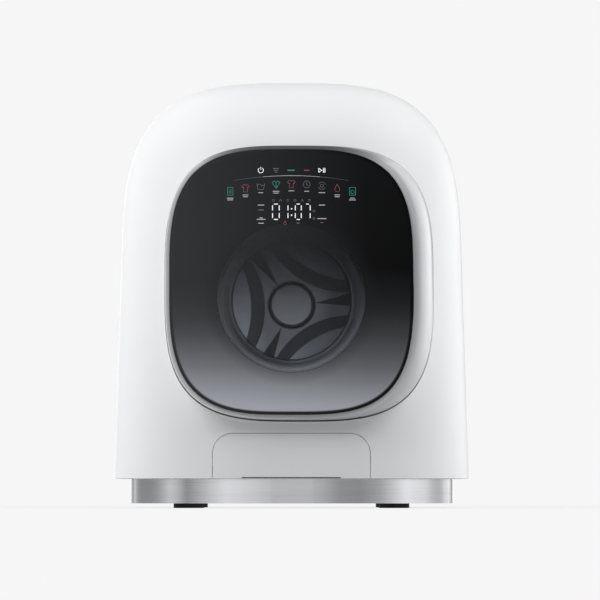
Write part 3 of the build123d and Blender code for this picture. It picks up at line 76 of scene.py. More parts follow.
# ==== Materials ===================================================================================
class Paint:
    """One material's node tree, built with short calls."""

    def __init__(self, name):
        self.material = bpy.data.materials.new(name)
        self.material.use_nodes = True
        self.tree = self.material.node_tree
        self.tree.nodes.clear()
        self.output = self.tree.nodes.new("ShaderNodeOutputMaterial")
        self.coords = self.tree.nodes.new("ShaderNodeTexCoord").outputs["Object"]

    def put(self, socket, value):
        """Sets a socket to a number or colour, or links it to another socket."""
        if isinstance(value, bpy.types.NodeSocket):
            self.tree.links.new(value, socket)
        elif isinstance(value, tuple) and len(value) == 3 and len(socket.default_value) == 4:
            socket.default_value = (*value, 1)
        else:
            socket.default_value = value

    def node(self, kind, inputs=(), **settings):
        made = self.tree.nodes.new(kind)
        for key, value in settings.items():
            setattr(made, key, value)
        for key, value in dict(inputs).items():
            self.put(made.inputs[key], value)
        return made

    def math(self, operation, first, second=0.0):
        return self.node("ShaderNodeMath", {0: first, 1: second}, operation=operation).outputs[0]

    def times(self, first, *others):
        """The product of all the values."""
        for other in others:
            first = self.math("MULTIPLY", first, other)
        return first

    def plus(self, first, second):
        return self.math("ADD", first, second)

    def minus(self, first, second):
        return self.math("SUBTRACT", first, second)

    def length(self, first, second):
        """The root of the sum of both squares."""
        return self.math("SQRT", self.plus(self.times(first, first), self.times(second, second)))

    def place(self, stretch):
        """Object coordinates stretched along the axes."""
        return self.node("ShaderNodeMapping", {"Vector": self.coords, "Scale": stretch}).outputs[0]

    def axis(self, name):
        return self.node("ShaderNodeSeparateXYZ", {0: self.coords}).outputs[name]

    def facing(self, name):
        """One part of the direction that the flat face looks in."""
        normal = self.node("ShaderNodeNewGeometry").outputs["True Normal"]
        return self.node("ShaderNodeSeparateXYZ", {0: normal}).outputs[name]

    def noise(self, scale, detail, stretch=None):
        where = self.coords if stretch is None else self.place(stretch)
        settings = {"Vector": where, "Scale": scale, "Detail": detail}
        return self.node("ShaderNodeTexNoise", settings).outputs["Fac"]

    def cells(self, scale):
        settings = {"Vector": self.coords, "Scale": scale}
        return self.node("ShaderNodeTexVoronoi", settings).outputs["Distance"]

    def span(self, value, low, high, start=0.0, end=1.0):
        """value from start..end carried over to low..high."""
        settings = {
            "Value": value, "From Min": start, "From Max": end, "To Min": low, "To Max": high,
        }
        return self.node("ShaderNodeMapRange", settings).outputs[0]

    def rise(self, value, start, end, top=1.0):
        """0 up to start, then up to top at end."""
        return self.span(value, 0.0, top, start, end)

    def fall(self, value, start, end, top=1.0):
        """top up to start, then down to 0 at end."""
        return self.span(value, top, 0.0, start, end)

    def vary(self, noise, low, high):
        """low..high over the values that a noise takes in most places."""
        return self.span(noise, low, high, 0.3, 0.7)

    def ramp(self, value, *stops):
        made = self.node("ShaderNodeValToRGB", {"Fac": value})
        points = made.color_ramp.elements
        while len(points) < len(stops):
            points.new(0.5)
        for point, (position, colour) in zip(points, stops):
            point.position = position
            point.color = (*colour, 1)
        return made.outputs["Color"]

    def mix(self, share, first, second):
        made = self.node("ShaderNodeMix", data_type="RGBA")
        self.put(made.inputs[0], share)
        self.put(made.inputs[6], first)
        self.put(made.inputs[7], second)
        return made.outputs[2]

    def cover(self, tone, *layers):
        """tone with each layer, a share and its colour, laid over what is below it."""
        for share, colour in layers:
            tone = self.mix(share, tone, colour)
        return tone

    def bump(self, height, distance):
        return self.node("ShaderNodeBump", {"Height": height, "Distance": distance}).outputs[0]

    def shader(self, **inputs):
        """The surface, by the names of its sockets with _ for a space."""
        made = self.node("ShaderNodeBsdfPrincipled")
        for key, value in inputs.items():
            self.put(made.inputs[key.replace("_", " ")], value)
        self.tree.links.new(made.outputs[0], self.output.inputs["Surface"])


def lighter(colour, factor):
    return tuple(min(1.0, channel * factor) for channel in colour)


def plain(tone):
    """The neutral grey of the given lightness."""
    return (tone, tone, tone)


def cool(tone):
    """A slightly blue grey of the given lightness."""
    return (0.96 * tone, tone, 1.10 * tone)


def plastic(name, colour, rough, grain, depth, coat=0.0, variation=0.04):
    """Moulded plastic: a fine grain, slight mottling and uneven gloss."""
    paint = Paint(name)
    dark = lighter(colour, 1 - variation)
    light = lighter(colour, 1 + variation)
    paint.shader(
        Base_Color=paint.mix(paint.noise(14, 3), dark, light),
        Roughness=paint.vary(paint.noise(60, 3), rough - 0.04, rough + 0.05),
        Normal=paint.bump(paint.noise(grain, 2), depth),
        Coat_Weight=coat,
        Coat_Roughness=0.08,
    )
    return paint.material


def brush_lines(paint, stretch):
    """Fine lines, and the same with broad ones among them."""
    fine = paint.noise(900, 2, stretch)
    broad = paint.noise(90, 2, stretch)
    return fine, paint.plus(paint.times(fine, 0.6), paint.times(broad, 0.4))


def brushed(name, colour, rough, stretch, depth=0.00002, contrast=0.12):
    """Metal with fine lines along the axis that is stretched least."""
    paint = Paint(name)
    dark = lighter(colour, 1 - contrast)
    light = lighter(colour, 1 + contrast)
    fine, both = brush_lines(paint, stretch)
    paint.shader(
        Base_Color=paint.ramp(both, (0.3, dark), (0.7, light)),
        Metallic=1.0,
        Roughness=paint.vary(both, rough - 0.06, rough + 0.08),
        Normal=paint.bump(fine, depth),
    )
    return paint.material


def cast(name, colour, rough, metallic, grain=220, depth=0.0002, contrast=0.16):
    """Cast or coated metal with a pebbled skin."""
    paint = Paint(name)
    dark = lighter(colour, 1 - contrast)
    light = lighter(colour, 1 + contrast)
    skin = paint.noise(grain, 4)
    paint.shader(
        Base_Color=paint.mix(paint.noise(30, 4), dark, light),
        Metallic=metallic,
        Roughness=paint.vary(skin, rough - 0.08, rough + 0.1),
        Normal=paint.bump(skin, depth),
    )
    return paint.material


def soft_rubber(name, colour, rough=0.65, sheen=0.15):
    """Rubber with a dusty, finely pitted skin."""
    paint = Paint(name)
    dust = paint.noise(45, 5)
    paint.shader(
        Base_Color=paint.mix(paint.rise(dust, 0.45, 0.8, 0.6), colour, lighter(colour, 1.7)),
        Roughness=paint.vary(dust, rough - 0.08, rough + 0.12),
        Normal=paint.bump(paint.noise(1500, 2), 0.00005),
        Sheen_Weight=sheen,
    )
    return paint.material


def shell_material():
    """Satin white body colour: almost even, with a faint orange peel."""
    paint = Paint("white_shell")
    paint.shader(
        Base_Color=paint.mix(paint.noise(5, 2), (0.865, 0.87, 0.88), (0.89, 0.895, 0.90)),
        Roughness=paint.vary(paint.noise(40, 3), 0.34, 0.42),
        Normal=paint.bump(paint.noise(260, 2), 0.00001),
        Coat_Weight=0.15,
        Coat_Roughness=0.25,
    )
    return paint.material


def outline_share(paint, middle_x, middle_z, half_w, half_h):
    """1 on a rounded square outline of the door, less inside it and more outside."""
    parts = []
    for name, middle, half in (("X", middle_x, half_w), ("Z", middle_z, half_h)):
        away = paint.math("DIVIDE", paint.minus(paint.axis(name), middle), half)
        parts.append(paint.math("POWER", paint.math("ABSOLUTE", away), door_power))
    return paint.math("POWER", paint.plus(*parts), 1 / door_power)


def ring_material():
    """Pearl lacquer of the door's ring, with painted shade: darker grey beside the glass, very dark
    at the top, greyer low on the right and along its outer edge on the upper right.
    """
    paint = Paint("door_trim")
    x = paint.axis("X")
    z = paint.axis("Z")
    # How far across the ring a point lies: 0 at the glass, 1 at the door's outline.
    out_of_glass = paint.minus(outline_share(paint, 0, glass_z, glass_half_w, glass_half_h), 1)
    out_of_glass = paint.math("MAXIMUM", out_of_glass, 0)
    in_door = paint.minus(1, outline_share(paint, door_x, door_z, door_half_w, door_half_h))
    width = paint.plus(out_of_glass, paint.math("MAXIMUM", in_door, 0.004))
    share = paint.math("DIVIDE", out_of_glass, width)

    # Painted shade on the ring: darker beside the glass, at the top, at the lower right and along
    # the outer edge on the upper right.
    glass_shade_share = paint.fall(share, 0.20, 0.72)
    top = paint.rise(z, 0.410, 0.430)
    low_right_shade = paint.times(paint.fall(z, 0.15, 0.19), paint.rise(x, -0.06, 0.04))
    outer_edge_shade = paint.times(
        paint.rise(share, 0.90, 0.96, 0.9), paint.rise(z, 0.22, 0.30), paint.rise(x, 0.02, 0.08),
    )
    speckle = paint.cells(2600)
    grain = paint.rise(speckle, 0.1, 0.7)
    pearl_and_shade = paint.cover(
        paint.mix(grain, (0.78, 0.79, 0.81), (0.72, 0.73, 0.75)),
        (low_right_shade, (0.58, 0.59, 0.61)),
        (top, (0.13, 0.132, 0.138)),
        (outer_edge_shade, (0.36, 0.37, 0.385)),
    )
    # The colour of the painted shade beside the glass, deeper still at the top.
    glass_shade_tone = paint.cover(
        paint.mix(grain, (0.61, 0.62, 0.64), (0.56, 0.57, 0.59)),
        (top, (0.062, 0.064, 0.068)),
    )
    paint.shader(
        Base_Color=paint.mix(glass_shade_share, pearl_and_shade, glass_shade_tone),
        Metallic=0.15,
        Roughness=paint.vary(paint.noise(50, 3), 0.30, 0.38),
        Normal=paint.bump(speckle, 0.00001),
        Coat_Weight=0.2,
        Coat_Roughness=0.15,
    )
    return paint.material


def plinth_material():
    """Steel brushed along the front, so that it mirrors the room in upright bands."""
    paint = Paint("plinth_steel")
    fine, both = brush_lines(paint, (0.02, 0.02, 1))
    paint.shader(
        Base_Color=paint.ramp(both, (0.3, (0.49, 0.495, 0.51)), (0.7, (0.56, 0.566, 0.583))),
        Metallic=1.0,
        Roughness=paint.vary(fine, 0.12, 0.17),
        Normal=paint.bump(fine, 0.000003),
        Anisotropic=0.8,
        Anisotropic_Rotation=0.25,
        Tangent=paint.node("ShaderNodeTangent", direction_type="RADIAL", axis="Z").outputs[0],
    )
    return paint.material


def from_drum_axis(paint):
    """Distance from the drum's axis, in the plane of the door."""
    return paint.length(paint.axis("X"), paint.minus(paint.axis("Z"), drum_z))


def glass_material():
    """Dark door glass: paler towards the bottom, lighter towards the left as a painted reflection,
    a black edge, and a clear round window ringed by painted shade.
    """
    paint = Paint("door_glass")
    z = paint.axis("Z")
    radius = from_drum_axis(paint)
    height = paint.rise(paint.minus(z, glass_z), -glass_half_h, glass_half_h)
    # Painted reflection: the glass is lighter towards the left, where the paler ramp below is used,
    # than towards the right, where the darker one is.
    left_reflection = paint.fall(paint.axis("X"), -0.13, 0.09)
    fade_with_left_reflection = paint.ramp(
        height,
        (0.03, cool(0.63)), (0.12, cool(0.41)), (0.18, cool(0.27)), (0.24, cool(0.175)),
        (0.30, cool(0.105)), (0.36, cool(0.066)), (0.42, cool(0.048)), (0.50, cool(0.038)),
        (0.97, cool(0.034)),
    )
    clear = paint.ramp(
        height,
        (0.03, cool(0.54)), (0.12, cool(0.30)), (0.18, cool(0.18)), (0.24, cool(0.112)),
        (0.30, cool(0.063)), (0.36, cool(0.036)), (0.42, cool(0.020)), (0.55, cool(0.005)),
        (0.97, cool(0.008)),
    )
    edge = outline_share(paint, 0, glass_z, glass_half_w, glass_half_h)
    border = paint.rise(edge, 0.968, 0.980)
    # Painted shade: a darker band just outside the round window.
    shade_round_window = paint.fall(radius, window_radius, window_radius + 0.016, 0.38)
    inside = paint.fall(radius, window_radius - 0.0008, window_radius + 0.0008)
    # The window's tint is dense at its top and thins out towards the bottom.
    drop = paint.rise(z, drum_z - window_radius, drum_z + window_radius)
    tint = paint.ramp(
        drop, (0.0, plain(0.06)), (0.25, plain(0.10)), (0.5, plain(0.24)), (0.72, plain(0.54)),
        (0.90, plain(0.90)),
    )
    paint.shader(
        Base_Color=paint.cover(
            paint.mix(left_reflection, clear, fade_with_left_reflection),
            (border, paint.mix(left_reflection, cool(0.004), cool(0.040))),
            (shade_round_window, cool(0.02)),
            (inside, paint.mix(left_reflection, cool(0.012), cool(0.05))),
        ),
        Roughness=paint.vary(paint.noise(30, 2), 0.04, 0.07),
        IOR=1.18,
        Alpha=paint.mix(inside, (1, 1, 1), tint),
    )
    return paint.material


def bowl_material():
    """Pressed glass bowl: clear in the middle and frosted on its side wall, with painted light on
    its left, a painted highlight low on the side wall and a painted shadow line between middle and
    wall.
    """
    paint = Paint("bowl_glass")
    radius = from_drum_axis(paint)
    frost = paint.rise(radius, 0.0722, 0.0736)
    low = paint.fall(paint.axis("Z"), drum_z - 0.03, drum_z + 0.03)
    # Painted light on the left of the bowl, a painted highlight low on its side wall, and a painted
    # shadow line where the wall meets the middle.
    left = paint.times(paint.fall(paint.axis("X"), -0.085, -0.045), 0.8)
    low_highlight = paint.times(frost, low, paint.fall(radius, 0.0740, 0.0765))
    edge_shadow_line = paint.times(paint.rise(radius, 0.0706, 0.0712), paint.fall(radius, 0.0722, 0.0728))
    paint.shader(
        Base_Color=paint.cover(
            paint.mix(paint.noise(70, 3), (0.50, 0.54, 0.61), (0.60, 0.64, 0.71)),
            (left, (0.94, 0.97, 1.0)),
            (low_highlight, (0.90, 0.94, 1.0)),
            (edge_shadow_line, (0.01, 0.012, 0.015)),
        ),
        Roughness=paint.span(radius, 0.05, 0.32, 0.072, 0.075),
        Alpha=paint.math("MAXIMUM", paint.span(frost, 0.05, 0.80), paint.times(edge_shadow_line, 0.75)),
        Normal=paint.bump(paint.noise(25, 2), 0.0003),
        IOR=1.3,
    )
    return paint.material


def drum_moulding_material():
    """Moulded back of the drum, with painted light and shade: its slopes, grooves and the gap round
    its hub lie in painted shade, its right side is darker, and its lower rim, its lower left and
    the bottom of its hub are lighter.
    """
    paint = Paint("drum_moulding")
    x = paint.axis("X")
    z = paint.axis("Z")
    radius = from_drum_axis(paint)
    # Painted light and shade: lighter at the lower rim and at the lower left, darker on the right,
    # and the hub darker at its top than at its bottom.
    lit_low_rim = paint.times(
        paint.rise(radius, 0.045, 0.074, 0.8), paint.fall(z, drum_z - 0.05, drum_z + 0.02),
    )
    right = paint.times(paint.rise(radius, 0.030, 0.050), paint.rise(x, 0.0, 0.05, 0.75))
    left = paint.times(
        paint.rise(radius, 0.040, 0.055), paint.fall(x, -0.055, -0.030, 0.7),
        paint.span(z, 1.0, 0.15, drum_z - 0.030, drum_z + 0.025),
    )
    hub = paint.fall(radius, 0.0250, 0.0256)
    hub_height = paint.rise(z, drum_z - 0.024, drum_z + 0.024)
    hub_shade_tone = paint.mix(hub_height, (0.40, 0.43, 0.49), (0.21, 0.23, 0.27))
    slope = paint.fall(paint.math("ABSOLUTE", paint.facing("Y")), 0.93, 0.99, 0.85)
    groove = paint.times(paint.rise(paint.axis("Y"), 0.0335, 0.0345), 0.9)
    gap = paint.times(paint.rise(radius, 0.0254, 0.0259), paint.fall(radius, 0.0296, 0.0302))
    paint.shader(
        Base_Color=paint.cover(
            paint.mix(paint.noise(18, 3), (0.24, 0.265, 0.315), (0.30, 0.325, 0.38)),
            (lit_low_rim, (0.56, 0.61, 0.70)),
            (right, (0.11, 0.125, 0.155)),
            (left, (0.66, 0.72, 0.82)),
            (hub, hub_shade_tone),
            (slope, (0.045, 0.048, 0.055)),
            (groove, (0.009, 0.012, 0.018)),
            (gap, (0.006, 0.007, 0.009)),
        ),
        Roughness=paint.vary(paint.noise(60, 3), 0.34, 0.42),
        Normal=paint.bump(paint.noise(1200, 2), 0.00001),
    )
    return paint.material


def drum_material():
    """Brushed drum: turned lines, and staggered rows of small dark holes through its wall."""
    holes_round = 90
    row_pitch = 0.0095
    rows_middle = -0.034
    rows_reach = 0.054
    wall_from = 0.132
    # Added so that neither the angle nor the depth is negative where its fraction is taken.
    whole_rows = 50

    paint = Paint("drum_steel")
    y = paint.axis("Y")
    angle = paint.math("ARCTAN2", paint.minus(paint.axis("Z"), drum_z), paint.axis("X"))
    turn = paint.math("DIVIDE", angle, 2 * math.pi / holes_round)
    row = paint.plus(paint.math("DIVIDE", y, row_pitch), whole_rows)
    stagger = paint.times(paint.math("MODULO", paint.math("FLOOR", row), 2), 0.5)
    column = paint.plus(turn, paint.plus(stagger, holes_round))
    across = paint.minus(paint.math("FRACT", column), 0.5)
    along = paint.minus(paint.math("FRACT", row), 0.5)
    reach = paint.length(across, along)
    wall = paint.math("GREATER_THAN", from_drum_axis(paint), wall_from)
    from_middle = paint.math("ABSOLUTE", paint.plus(y, -rows_middle))
    in_rows = paint.math("LESS_THAN", from_middle, rows_reach)
    hole = paint.times(wall, in_rows, paint.fall(reach, 0.15, 0.18))
    dish = paint.times(wall, in_rows, paint.fall(reach, 0.16, 0.34))
    lines = paint.noise(900, 2, (1, 0.08, 1))
    paint.shader(
        Base_Color=paint.cover(
            paint.mix(lines, (0.56, 0.57, 0.59), (0.67, 0.68, 0.70)),
            (hole, (0.004, 0.004, 0.005)),
        ),
        Metallic=paint.span(hole, 1.0, 0.0),
        Roughness=paint.vary(lines, 0.22, 0.32),
        Normal=paint.bump(dish, 0.0012),
    )
    return paint.material


def winding(name):
    """Varnished copper turns."""
    paint = Paint(name)
    turns = paint.noise(400, 2, (1, 6, 1))
    paint.shader(
        Base_Color=paint.ramp(turns, (0.35, (0.16, 0.06, 0.02)), (0.65, (0.55, 0.24, 0.09))),
        Metallic=0.6,
        Roughness=0.38,
        Normal=paint.bump(turns, 0.0003),
    )
    return paint.material


def glow(name, colour, strength):
    """A lit mark of the touch panel, with a faint unevenness like a light guide's."""
    paint = Paint(name)
    uneven = paint.mix(paint.noise(180, 2), lighter(colour, 0.85), colour)
    paint.shader(
        Base_Color=uneven,
        Roughness=0.5,
        Emission_Color=uneven,
        Emission_Strength=strength,
    )
    return paint.material


slot_paint = {
    "white_shell": shell_material(),
    "door_trim": ring_material(),
    "plinth_steel": plinth_material(),
    "foot_rubber": soft_rubber("foot_rubber", (0.006, 0.006, 0.006), 0.8, 0.0),
    "zinc_steel": brushed("zinc_steel", (0.60, 0.61, 0.62), 0.36, (1, 1, 0.2)),
    "damper_plastic": plastic("damper_plastic", (0.03, 0.03, 0.033), 0.45, 900, 0.00004),
    "rod_chrome": brushed("rod_chrome", (0.80, 0.80, 0.82), 0.14, (1, 1, 1), 0.000002, 0.03),
    "base_plastic": plastic("base_plastic", (0.30, 0.31, 0.33), 0.5, 700, 0.00006),
    "rear_sheet": cast("rear_sheet", (0.62, 0.63, 0.64), 0.42, 0.0, 900, 0.00003, 0.03),
    "door_glass": glass_material(),
    "bowl_glass": bowl_material(),
    "door_inner": plastic("door_inner", (0.045, 0.046, 0.05), 0.42, 900, 0.00004),
    "display": plastic("display", (0.006, 0.006, 0.007), 0.3, 500, 0.00001),
    "lock_plastic": plastic("lock_plastic", (0.62, 0.62, 0.58), 0.45, 700, 0.00004),
    "seal_rubber": soft_rubber("seal_rubber", (0.20, 0.205, 0.215), 0.5),
    "tub_plastic": plastic("tub_plastic", (0.60, 0.61, 0.62), 0.5, 500, 0.0001),
    "weight": cast("weight", (0.11, 0.11, 0.115), 0.62, 0.4, 260, 0.0004),
    "drum_steel": drum_material(),
    "drum_moulding": drum_moulding_material(),
    "cast_aluminium": cast("cast_aluminium", (0.60, 0.61, 0.62), 0.42, 1.0),
    "seal_black": soft_rubber("seal_black", (0.02, 0.02, 0.02)),
    "stator_core": winding("stator_core"),
    "rotor_steel": cast("rotor_steel", (0.10, 0.10, 0.11), 0.4, 0.7, 500, 0.00006),
    "duct_plastic": plastic("duct_plastic", (0.16, 0.165, 0.175), 0.5, 700, 0.00008),
    "fan_plastic": plastic("fan_plastic", (0.03, 0.03, 0.03), 0.45, 900, 0.00004),
    "motor_case": cast("motor_case", (0.22, 0.23, 0.25), 0.4, 0.6, 800, 0.00004),
    "heater_fins": brushed("heater_fins", (0.70, 0.70, 0.72), 0.3, (1, 1, 0.1)),
    "tray_plastic": plastic("tray_plastic", (0.78, 0.785, 0.79), 0.4, 700, 0.00003),
    "pump_plastic": plastic("pump_plastic", (0.55, 0.55, 0.53), 0.45, 700, 0.00005),
    "filter_plastic": plastic("filter_plastic", (0.07, 0.13, 0.24), 0.42, 700, 0.00004),
    "hose_rubber": soft_rubber("hose_rubber", (0.09, 0.09, 0.095)),
    "gland_plastic": plastic("gland_plastic", (0.02, 0.02, 0.02), 0.45, 900, 0.00004),
    "board_plastic": plastic("board_plastic", (0.66, 0.66, 0.62), 0.5, 600, 0.00005),
    "circuit": plastic("circuit", (0.01, 0.07, 0.03), 0.35, 200, 0.00008, 0.3, 0.3),
}

crease_angle = math.radians(32)

for row in frame["record"]["subparts"]:
    node = nodes[row["node"]]
    node.data.materials.clear()
    node.data.materials.append(slot_paint[row["material_slot"]])
    node.data.polygons.foreach_set("use_smooth", [True] * len(node.data.polygons))
    split = node.modifiers.new("creases", "EDGE_SPLIT")
    split.split_angle = crease_angle


# ==== Small fixings and flexible pieces ===========================================================
def mesh_object(name, shape):
    """An object in the scene with the mesh that a bmesh describes."""
    bmesh.ops.recalc_face_normals(shape, faces=shape.faces)
    mesh = bpy.data.meshes.new(name)
    shape.to_mesh(mesh)
    shape.free()
    piece = bpy.data.objects.new(name, mesh)
    scene.collection.objects.link(piece)
    return piece


def new_piece(name, shape, slot, body):
    piece = mesh_object(name, shape)
    piece.data.polygons.foreach_set("use_smooth", [True] * len(piece.data.polygons))
    piece.data.materials.append(slot_paint[slot])
    if body is not None:
        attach(piece, body)
    return piece


def turned_piece(name, profile, place, segments, slot, body, upright=False):
    """A closed profile turned about an axis along Y, or along Z where upright.

    Each point of the profile gives its distance from the axis and its distance along it.
    """
    shape = bmesh.new()
    rings = []
    for radius, along in profile:
        ring = []
        for step in range(segments):
            turn = 2 * math.pi * step / segments
            x = place[0] + radius * math.cos(turn)
            side = radius * math.sin(turn)
            if upright:
                ring.append(shape.verts.new((x, place[1] + side, place[2] + along)))
            else:
                ring.append(shape.verts.new((x, place[1] + along, place[2] + side)))
        rings.append(ring)
    for first, second in zip(rings, rings[1:] + rings[:1]):
        for step in range(segments):
            after = (step + 1) % segments
            shape.faces.new((first[step], first[after], second[after], second[step]))
    return new_piece(name, shape, slot, body)


def coil_springs(name, axes, low, high, coil, wire, turns, slot):
    """Upright coil springs, each with a closed turn at either end."""
    around = 28
    sides = 10
    steps = int(turns * around)
    open_turns = (steps - 2 * around) / around
    climb = 2.2 * wire
    stride = (high - low - 2 * climb) / open_turns
    shape = bmesh.new()
    for x, y in axes:
        rings = []
        for step in range(steps + 1):
            turn = 2 * math.pi * step / around
            left = min(1.0, step / around)
            right = min(1.0, (steps - step) / around)
            opened = max(0.0, min(open_turns, step / around - 1))
            z = low + climb * left + climb * (1 - right) + stride * opened
            ring = []
            for side in range(sides):
                roll = 2 * math.pi * side / sides
                out = coil + wire * math.cos(roll)
                ring.append(shape.verts.new((
                    x + out * math.cos(turn), y + out * math.sin(turn), z + wire * math.sin(roll),
                )))
            rings.append(ring)
        for before, ring in zip(rings, rings[1:]):
            for side in range(sides):
                after = (side + 1) % sides
                shape.faces.new((before[side], before[after], ring[after], ring[side]))
        shape.faces.new(rings[0])
        shape.faces.new(rings[-1])
    return new_piece(name, shape, slot, None)


# The bellows between the hatch and the tub's mouth, the springs and the sump bellows are built here
# in place of the CAD's own pieces, which are hidden.
bellows = turned_piece("gasket_bellows", [
    (0.0926, -0.1337), (0.0935, -0.1340), (0.0982, -0.1340), (0.0989, -0.1336), (0.0989, -0.1325),
    (0.0985, -0.1321), (0.0968, -0.1320), (0.0968, -0.1290), (0.0986, -0.1289), (0.0990, -0.1285),
    (0.0990, -0.1275), (0.0985, -0.1270), (0.0958, -0.1253), (0.0948, -0.1244), (0.0944, -0.1236),
    (0.0950, -0.1226), (0.0961, -0.1213), (0.0965, -0.1205), (0.0960, -0.1198), (0.0947, -0.1186),
    (0.0943, -0.1177), (0.0943, -0.1104), (0.0940, -0.1100), (0.0923, -0.1100), (0.0920, -0.1104),
    (0.0920, -0.1178), (0.0924, -0.1188), (0.0938, -0.1200), (0.0941, -0.1206), (0.0938, -0.1213),
    (0.0924, -0.1227), (0.0920, -0.1236), (0.0923, -0.1246), (0.0936, -0.1260), (0.0943, -0.1270),
    (0.0943, -0.1279), (0.0936, -0.1288), (0.0923, -0.1297), (0.0920, -0.1305), (0.0921, -0.1330),
], (0, 0, drum_z), 120, "seal_rubber", None)
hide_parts("door_gasket")
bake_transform(bellows)

coils = coil_springs(
    "hanger_springs", [(-0.162, 0.0), (0.162, 0.0)], low=0.333, high=0.421, coil=0.008, wire=0.001,
    turns=11, slot="zinc_steel",
)
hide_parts("springs")
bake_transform(coils)

sump = turned_piece("sump_bellows", [
    (0.0121, 0.0840), (0.0146, 0.0840), (0.0150, 0.0844), (0.0150, 0.0856), (0.0147, 0.0861),
    (0.0138, 0.0866), (0.0136, 0.0870), (0.0138, 0.0874), (0.0148, 0.0880), (0.0150, 0.0885),
    (0.0148, 0.0890), (0.0138, 0.0896), (0.0136, 0.0900), (0.0138, 0.0904), (0.0148, 0.0910),
    (0.0150, 0.0915), (0.0148, 0.0920), (0.0138, 0.0926), (0.0137, 0.0930), (0.0146, 0.0937),
    (0.0150, 0.0942), (0.0150, 0.0956), (0.0146, 0.0960), (0.0121, 0.0960),
], (0, -0.005, 0), 48, "seal_rubber", None, upright=True)
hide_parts("sump_hose")
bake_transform(sump)

# The black lip seal in the gap between the drum's hub and its back.
turned_piece("hub_seal", [
    (0.0262, 0.0356), (0.0262, 0.0318), (0.0268, 0.0308), (0.0276, 0.0312), (0.0284, 0.0308),
    (0.0291, 0.0318), (0.0291, 0.0356),
], (0, 0, drum_z), 72, "seal_black", "drum")

# Pan-head screws round the edge of the rear cover, each with a round recess.
cover_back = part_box("rear_cover")[1][1]
screw_places = []
for side in (-1, 1):
    for height in (0.068, 0.190, 0.330):
        screw_places.append((side * 0.1835, height))
    screw_places.append((side * 0.150, 0.436))
for number, (x, z) in enumerate(screw_places):
    turned_piece("cover_screw_%d" % number, [
        (0.0036, 0.0), (0.0036, 0.0010), (0.0031, 0.0017), (0.0022, 0.0021), (0.0016, 0.0021),
        (0.0015, 0.0008), (0.0001, 0.0008), (0.0001, 0.0),
    ], (x, cover_back, z), 24, "zinc_steel", "cabinet")


# ==== Touch panel marks ===========================================================================
mark_proud = 0.00004
mark_thickness = 0.0001
thin = 0.00055


def glass_y(x, z):
    """Depth of the glass's outer face."""
    return glass_apex + (x * x + (z - glass_z) ** 2) / (2 * glass_crown)


class Marks:
    """Flat marks of one colour, gathered in one thin mesh on the glass."""

    def __init__(self, name, material):
        self.name = name
        self.material = material
        self.faces = []

    def bar(self, x, z, width, height):
        self.faces.append([
            (x - width / 2, z - height / 2),
            (x + width / 2, z - height / 2),
            (x + width / 2, z + height / 2),
            (x - width / 2, z + height / 2),
        ])

    def line(self, points, width):
        """A stroke through the points, one slab for each run."""
        for (ax, az), (bx, bz) in zip(points, points[1:]):
            run = math.hypot(bx - ax, bz - az)
            nx = -(bz - az) / run * width / 2
            nz = (bx - ax) / run * width / 2
            ex = (bx - ax) / run * width / 3
            ez = (bz - az) / run * width / 3
            self.faces.append([
                (ax - ex + nx, az - ez + nz),
                (ax - ex - nx, az - ez - nz),
                (bx + ex - nx, bz + ez - nz),
                (bx + ex + nx, bz + ez + nz),
            ])

    def arc(self, x, z, radius, start, end, width, steps=16):
        points = []
        for step in range(steps + 1):
            turn = math.radians(start + (end - start) * step / steps)
            points.append((x + radius * math.cos(turn), z + radius * math.sin(turn)))
        self.line(points, width)

    def circle(self, x, z, radius, width, steps=16):
        self.arc(x, z, radius, 0, 360, width, steps)

    def trace(self, x, z, size, *outline):
        """A thin line through points that are given from (x, z) in halves of the size."""
        half = size / 2
        self.line([(x + across * half, z + up * half) for across, up in outline], thin)

    def build(self):
        shape = bmesh.new()
        for points in self.faces:
            layers = []
            for proud in (mark_proud, mark_proud + mark_thickness):
                layers.append([shape.verts.new((x, glass_y(x, z) - proud, z)) for x, z in points])
            back, front = layers
            shape.faces.new(front)
            shape.faces.new(back[::-1])
            for corner in range(len(points)):
                after = (corner + 1) % len(points)
                shape.faces.new((back[corner], back[after], front[after], front[corner]))
        piece = mesh_object(self.name, shape)
        piece.data.materials.append(self.material)
        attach(piece, "door")


marks = {
    "teal": Marks("panel_marks_teal", glow("mark_teal", (0.03, 0.22, 0.18), 0.5)),
    "red": Marks("panel_marks_red", glow("mark_red", (0.19, 0.065, 0.08), 0.5)),
    "grey": Marks("panel_marks_grey", glow("mark_grey", (0.11, 0.115, 0.125), 0.5)),
    "white": Marks("panel_marks_white", glow("mark_white", (0.84, 0.85, 0.86), 0.7)),
    "label": Marks("panel_marks_label", glow("mark_label", (0.40, 0.41, 0.42), 0.45)),
    "amber": Marks("panel_marks_amber", glow("mark_amber", (0.16, 0.08, 0.05), 0.6)),
}


def shirt(pen, x, z, size):
    pen.trace(
        x, z, size, (-0.35, 1), (-1, 0.55), (-0.75, 0.1), (-0.5, 0.3), (-0.5, -1), (0.5, -1),
        (0.5, 0.3), (0.75, 0.1), (1, 0.55), (0.35, 1), (0, 0.7), (-0.35, 1),
    )


def list_sheet(pen, x, z, size):
    half = size / 2
    pen.trace(x, z, size, (-0.7, -1), (-0.7, 1), (0.7, 1), (0.7, -1), (-0.7, -1))
    for share in (0.4, 0, -0.4):
        pen.bar(x, z + share * half, 0.8 * half, thin)


def basket(pen, x, z, size):
    pen.trace(x, z, size, (-1, 0.6), (-0.7, -1), (0.7, -1), (1, 0.6))
    pen.trace(x, z, size, (-1, 0.2), (-0.3, 0.45), (0.3, 0), (1, 0.25))


def fan_leaf(pen, x, z, size):
    pen.trace(
        x, z, size, (0, -1), (-1, 0.5), (-0.4, 0.9), (0, 0.5), (0.4, 0.9), (1, 0.5), (0, -1),
    )
    pen.trace(x, z, size, (0, -1), (0, 0.5))


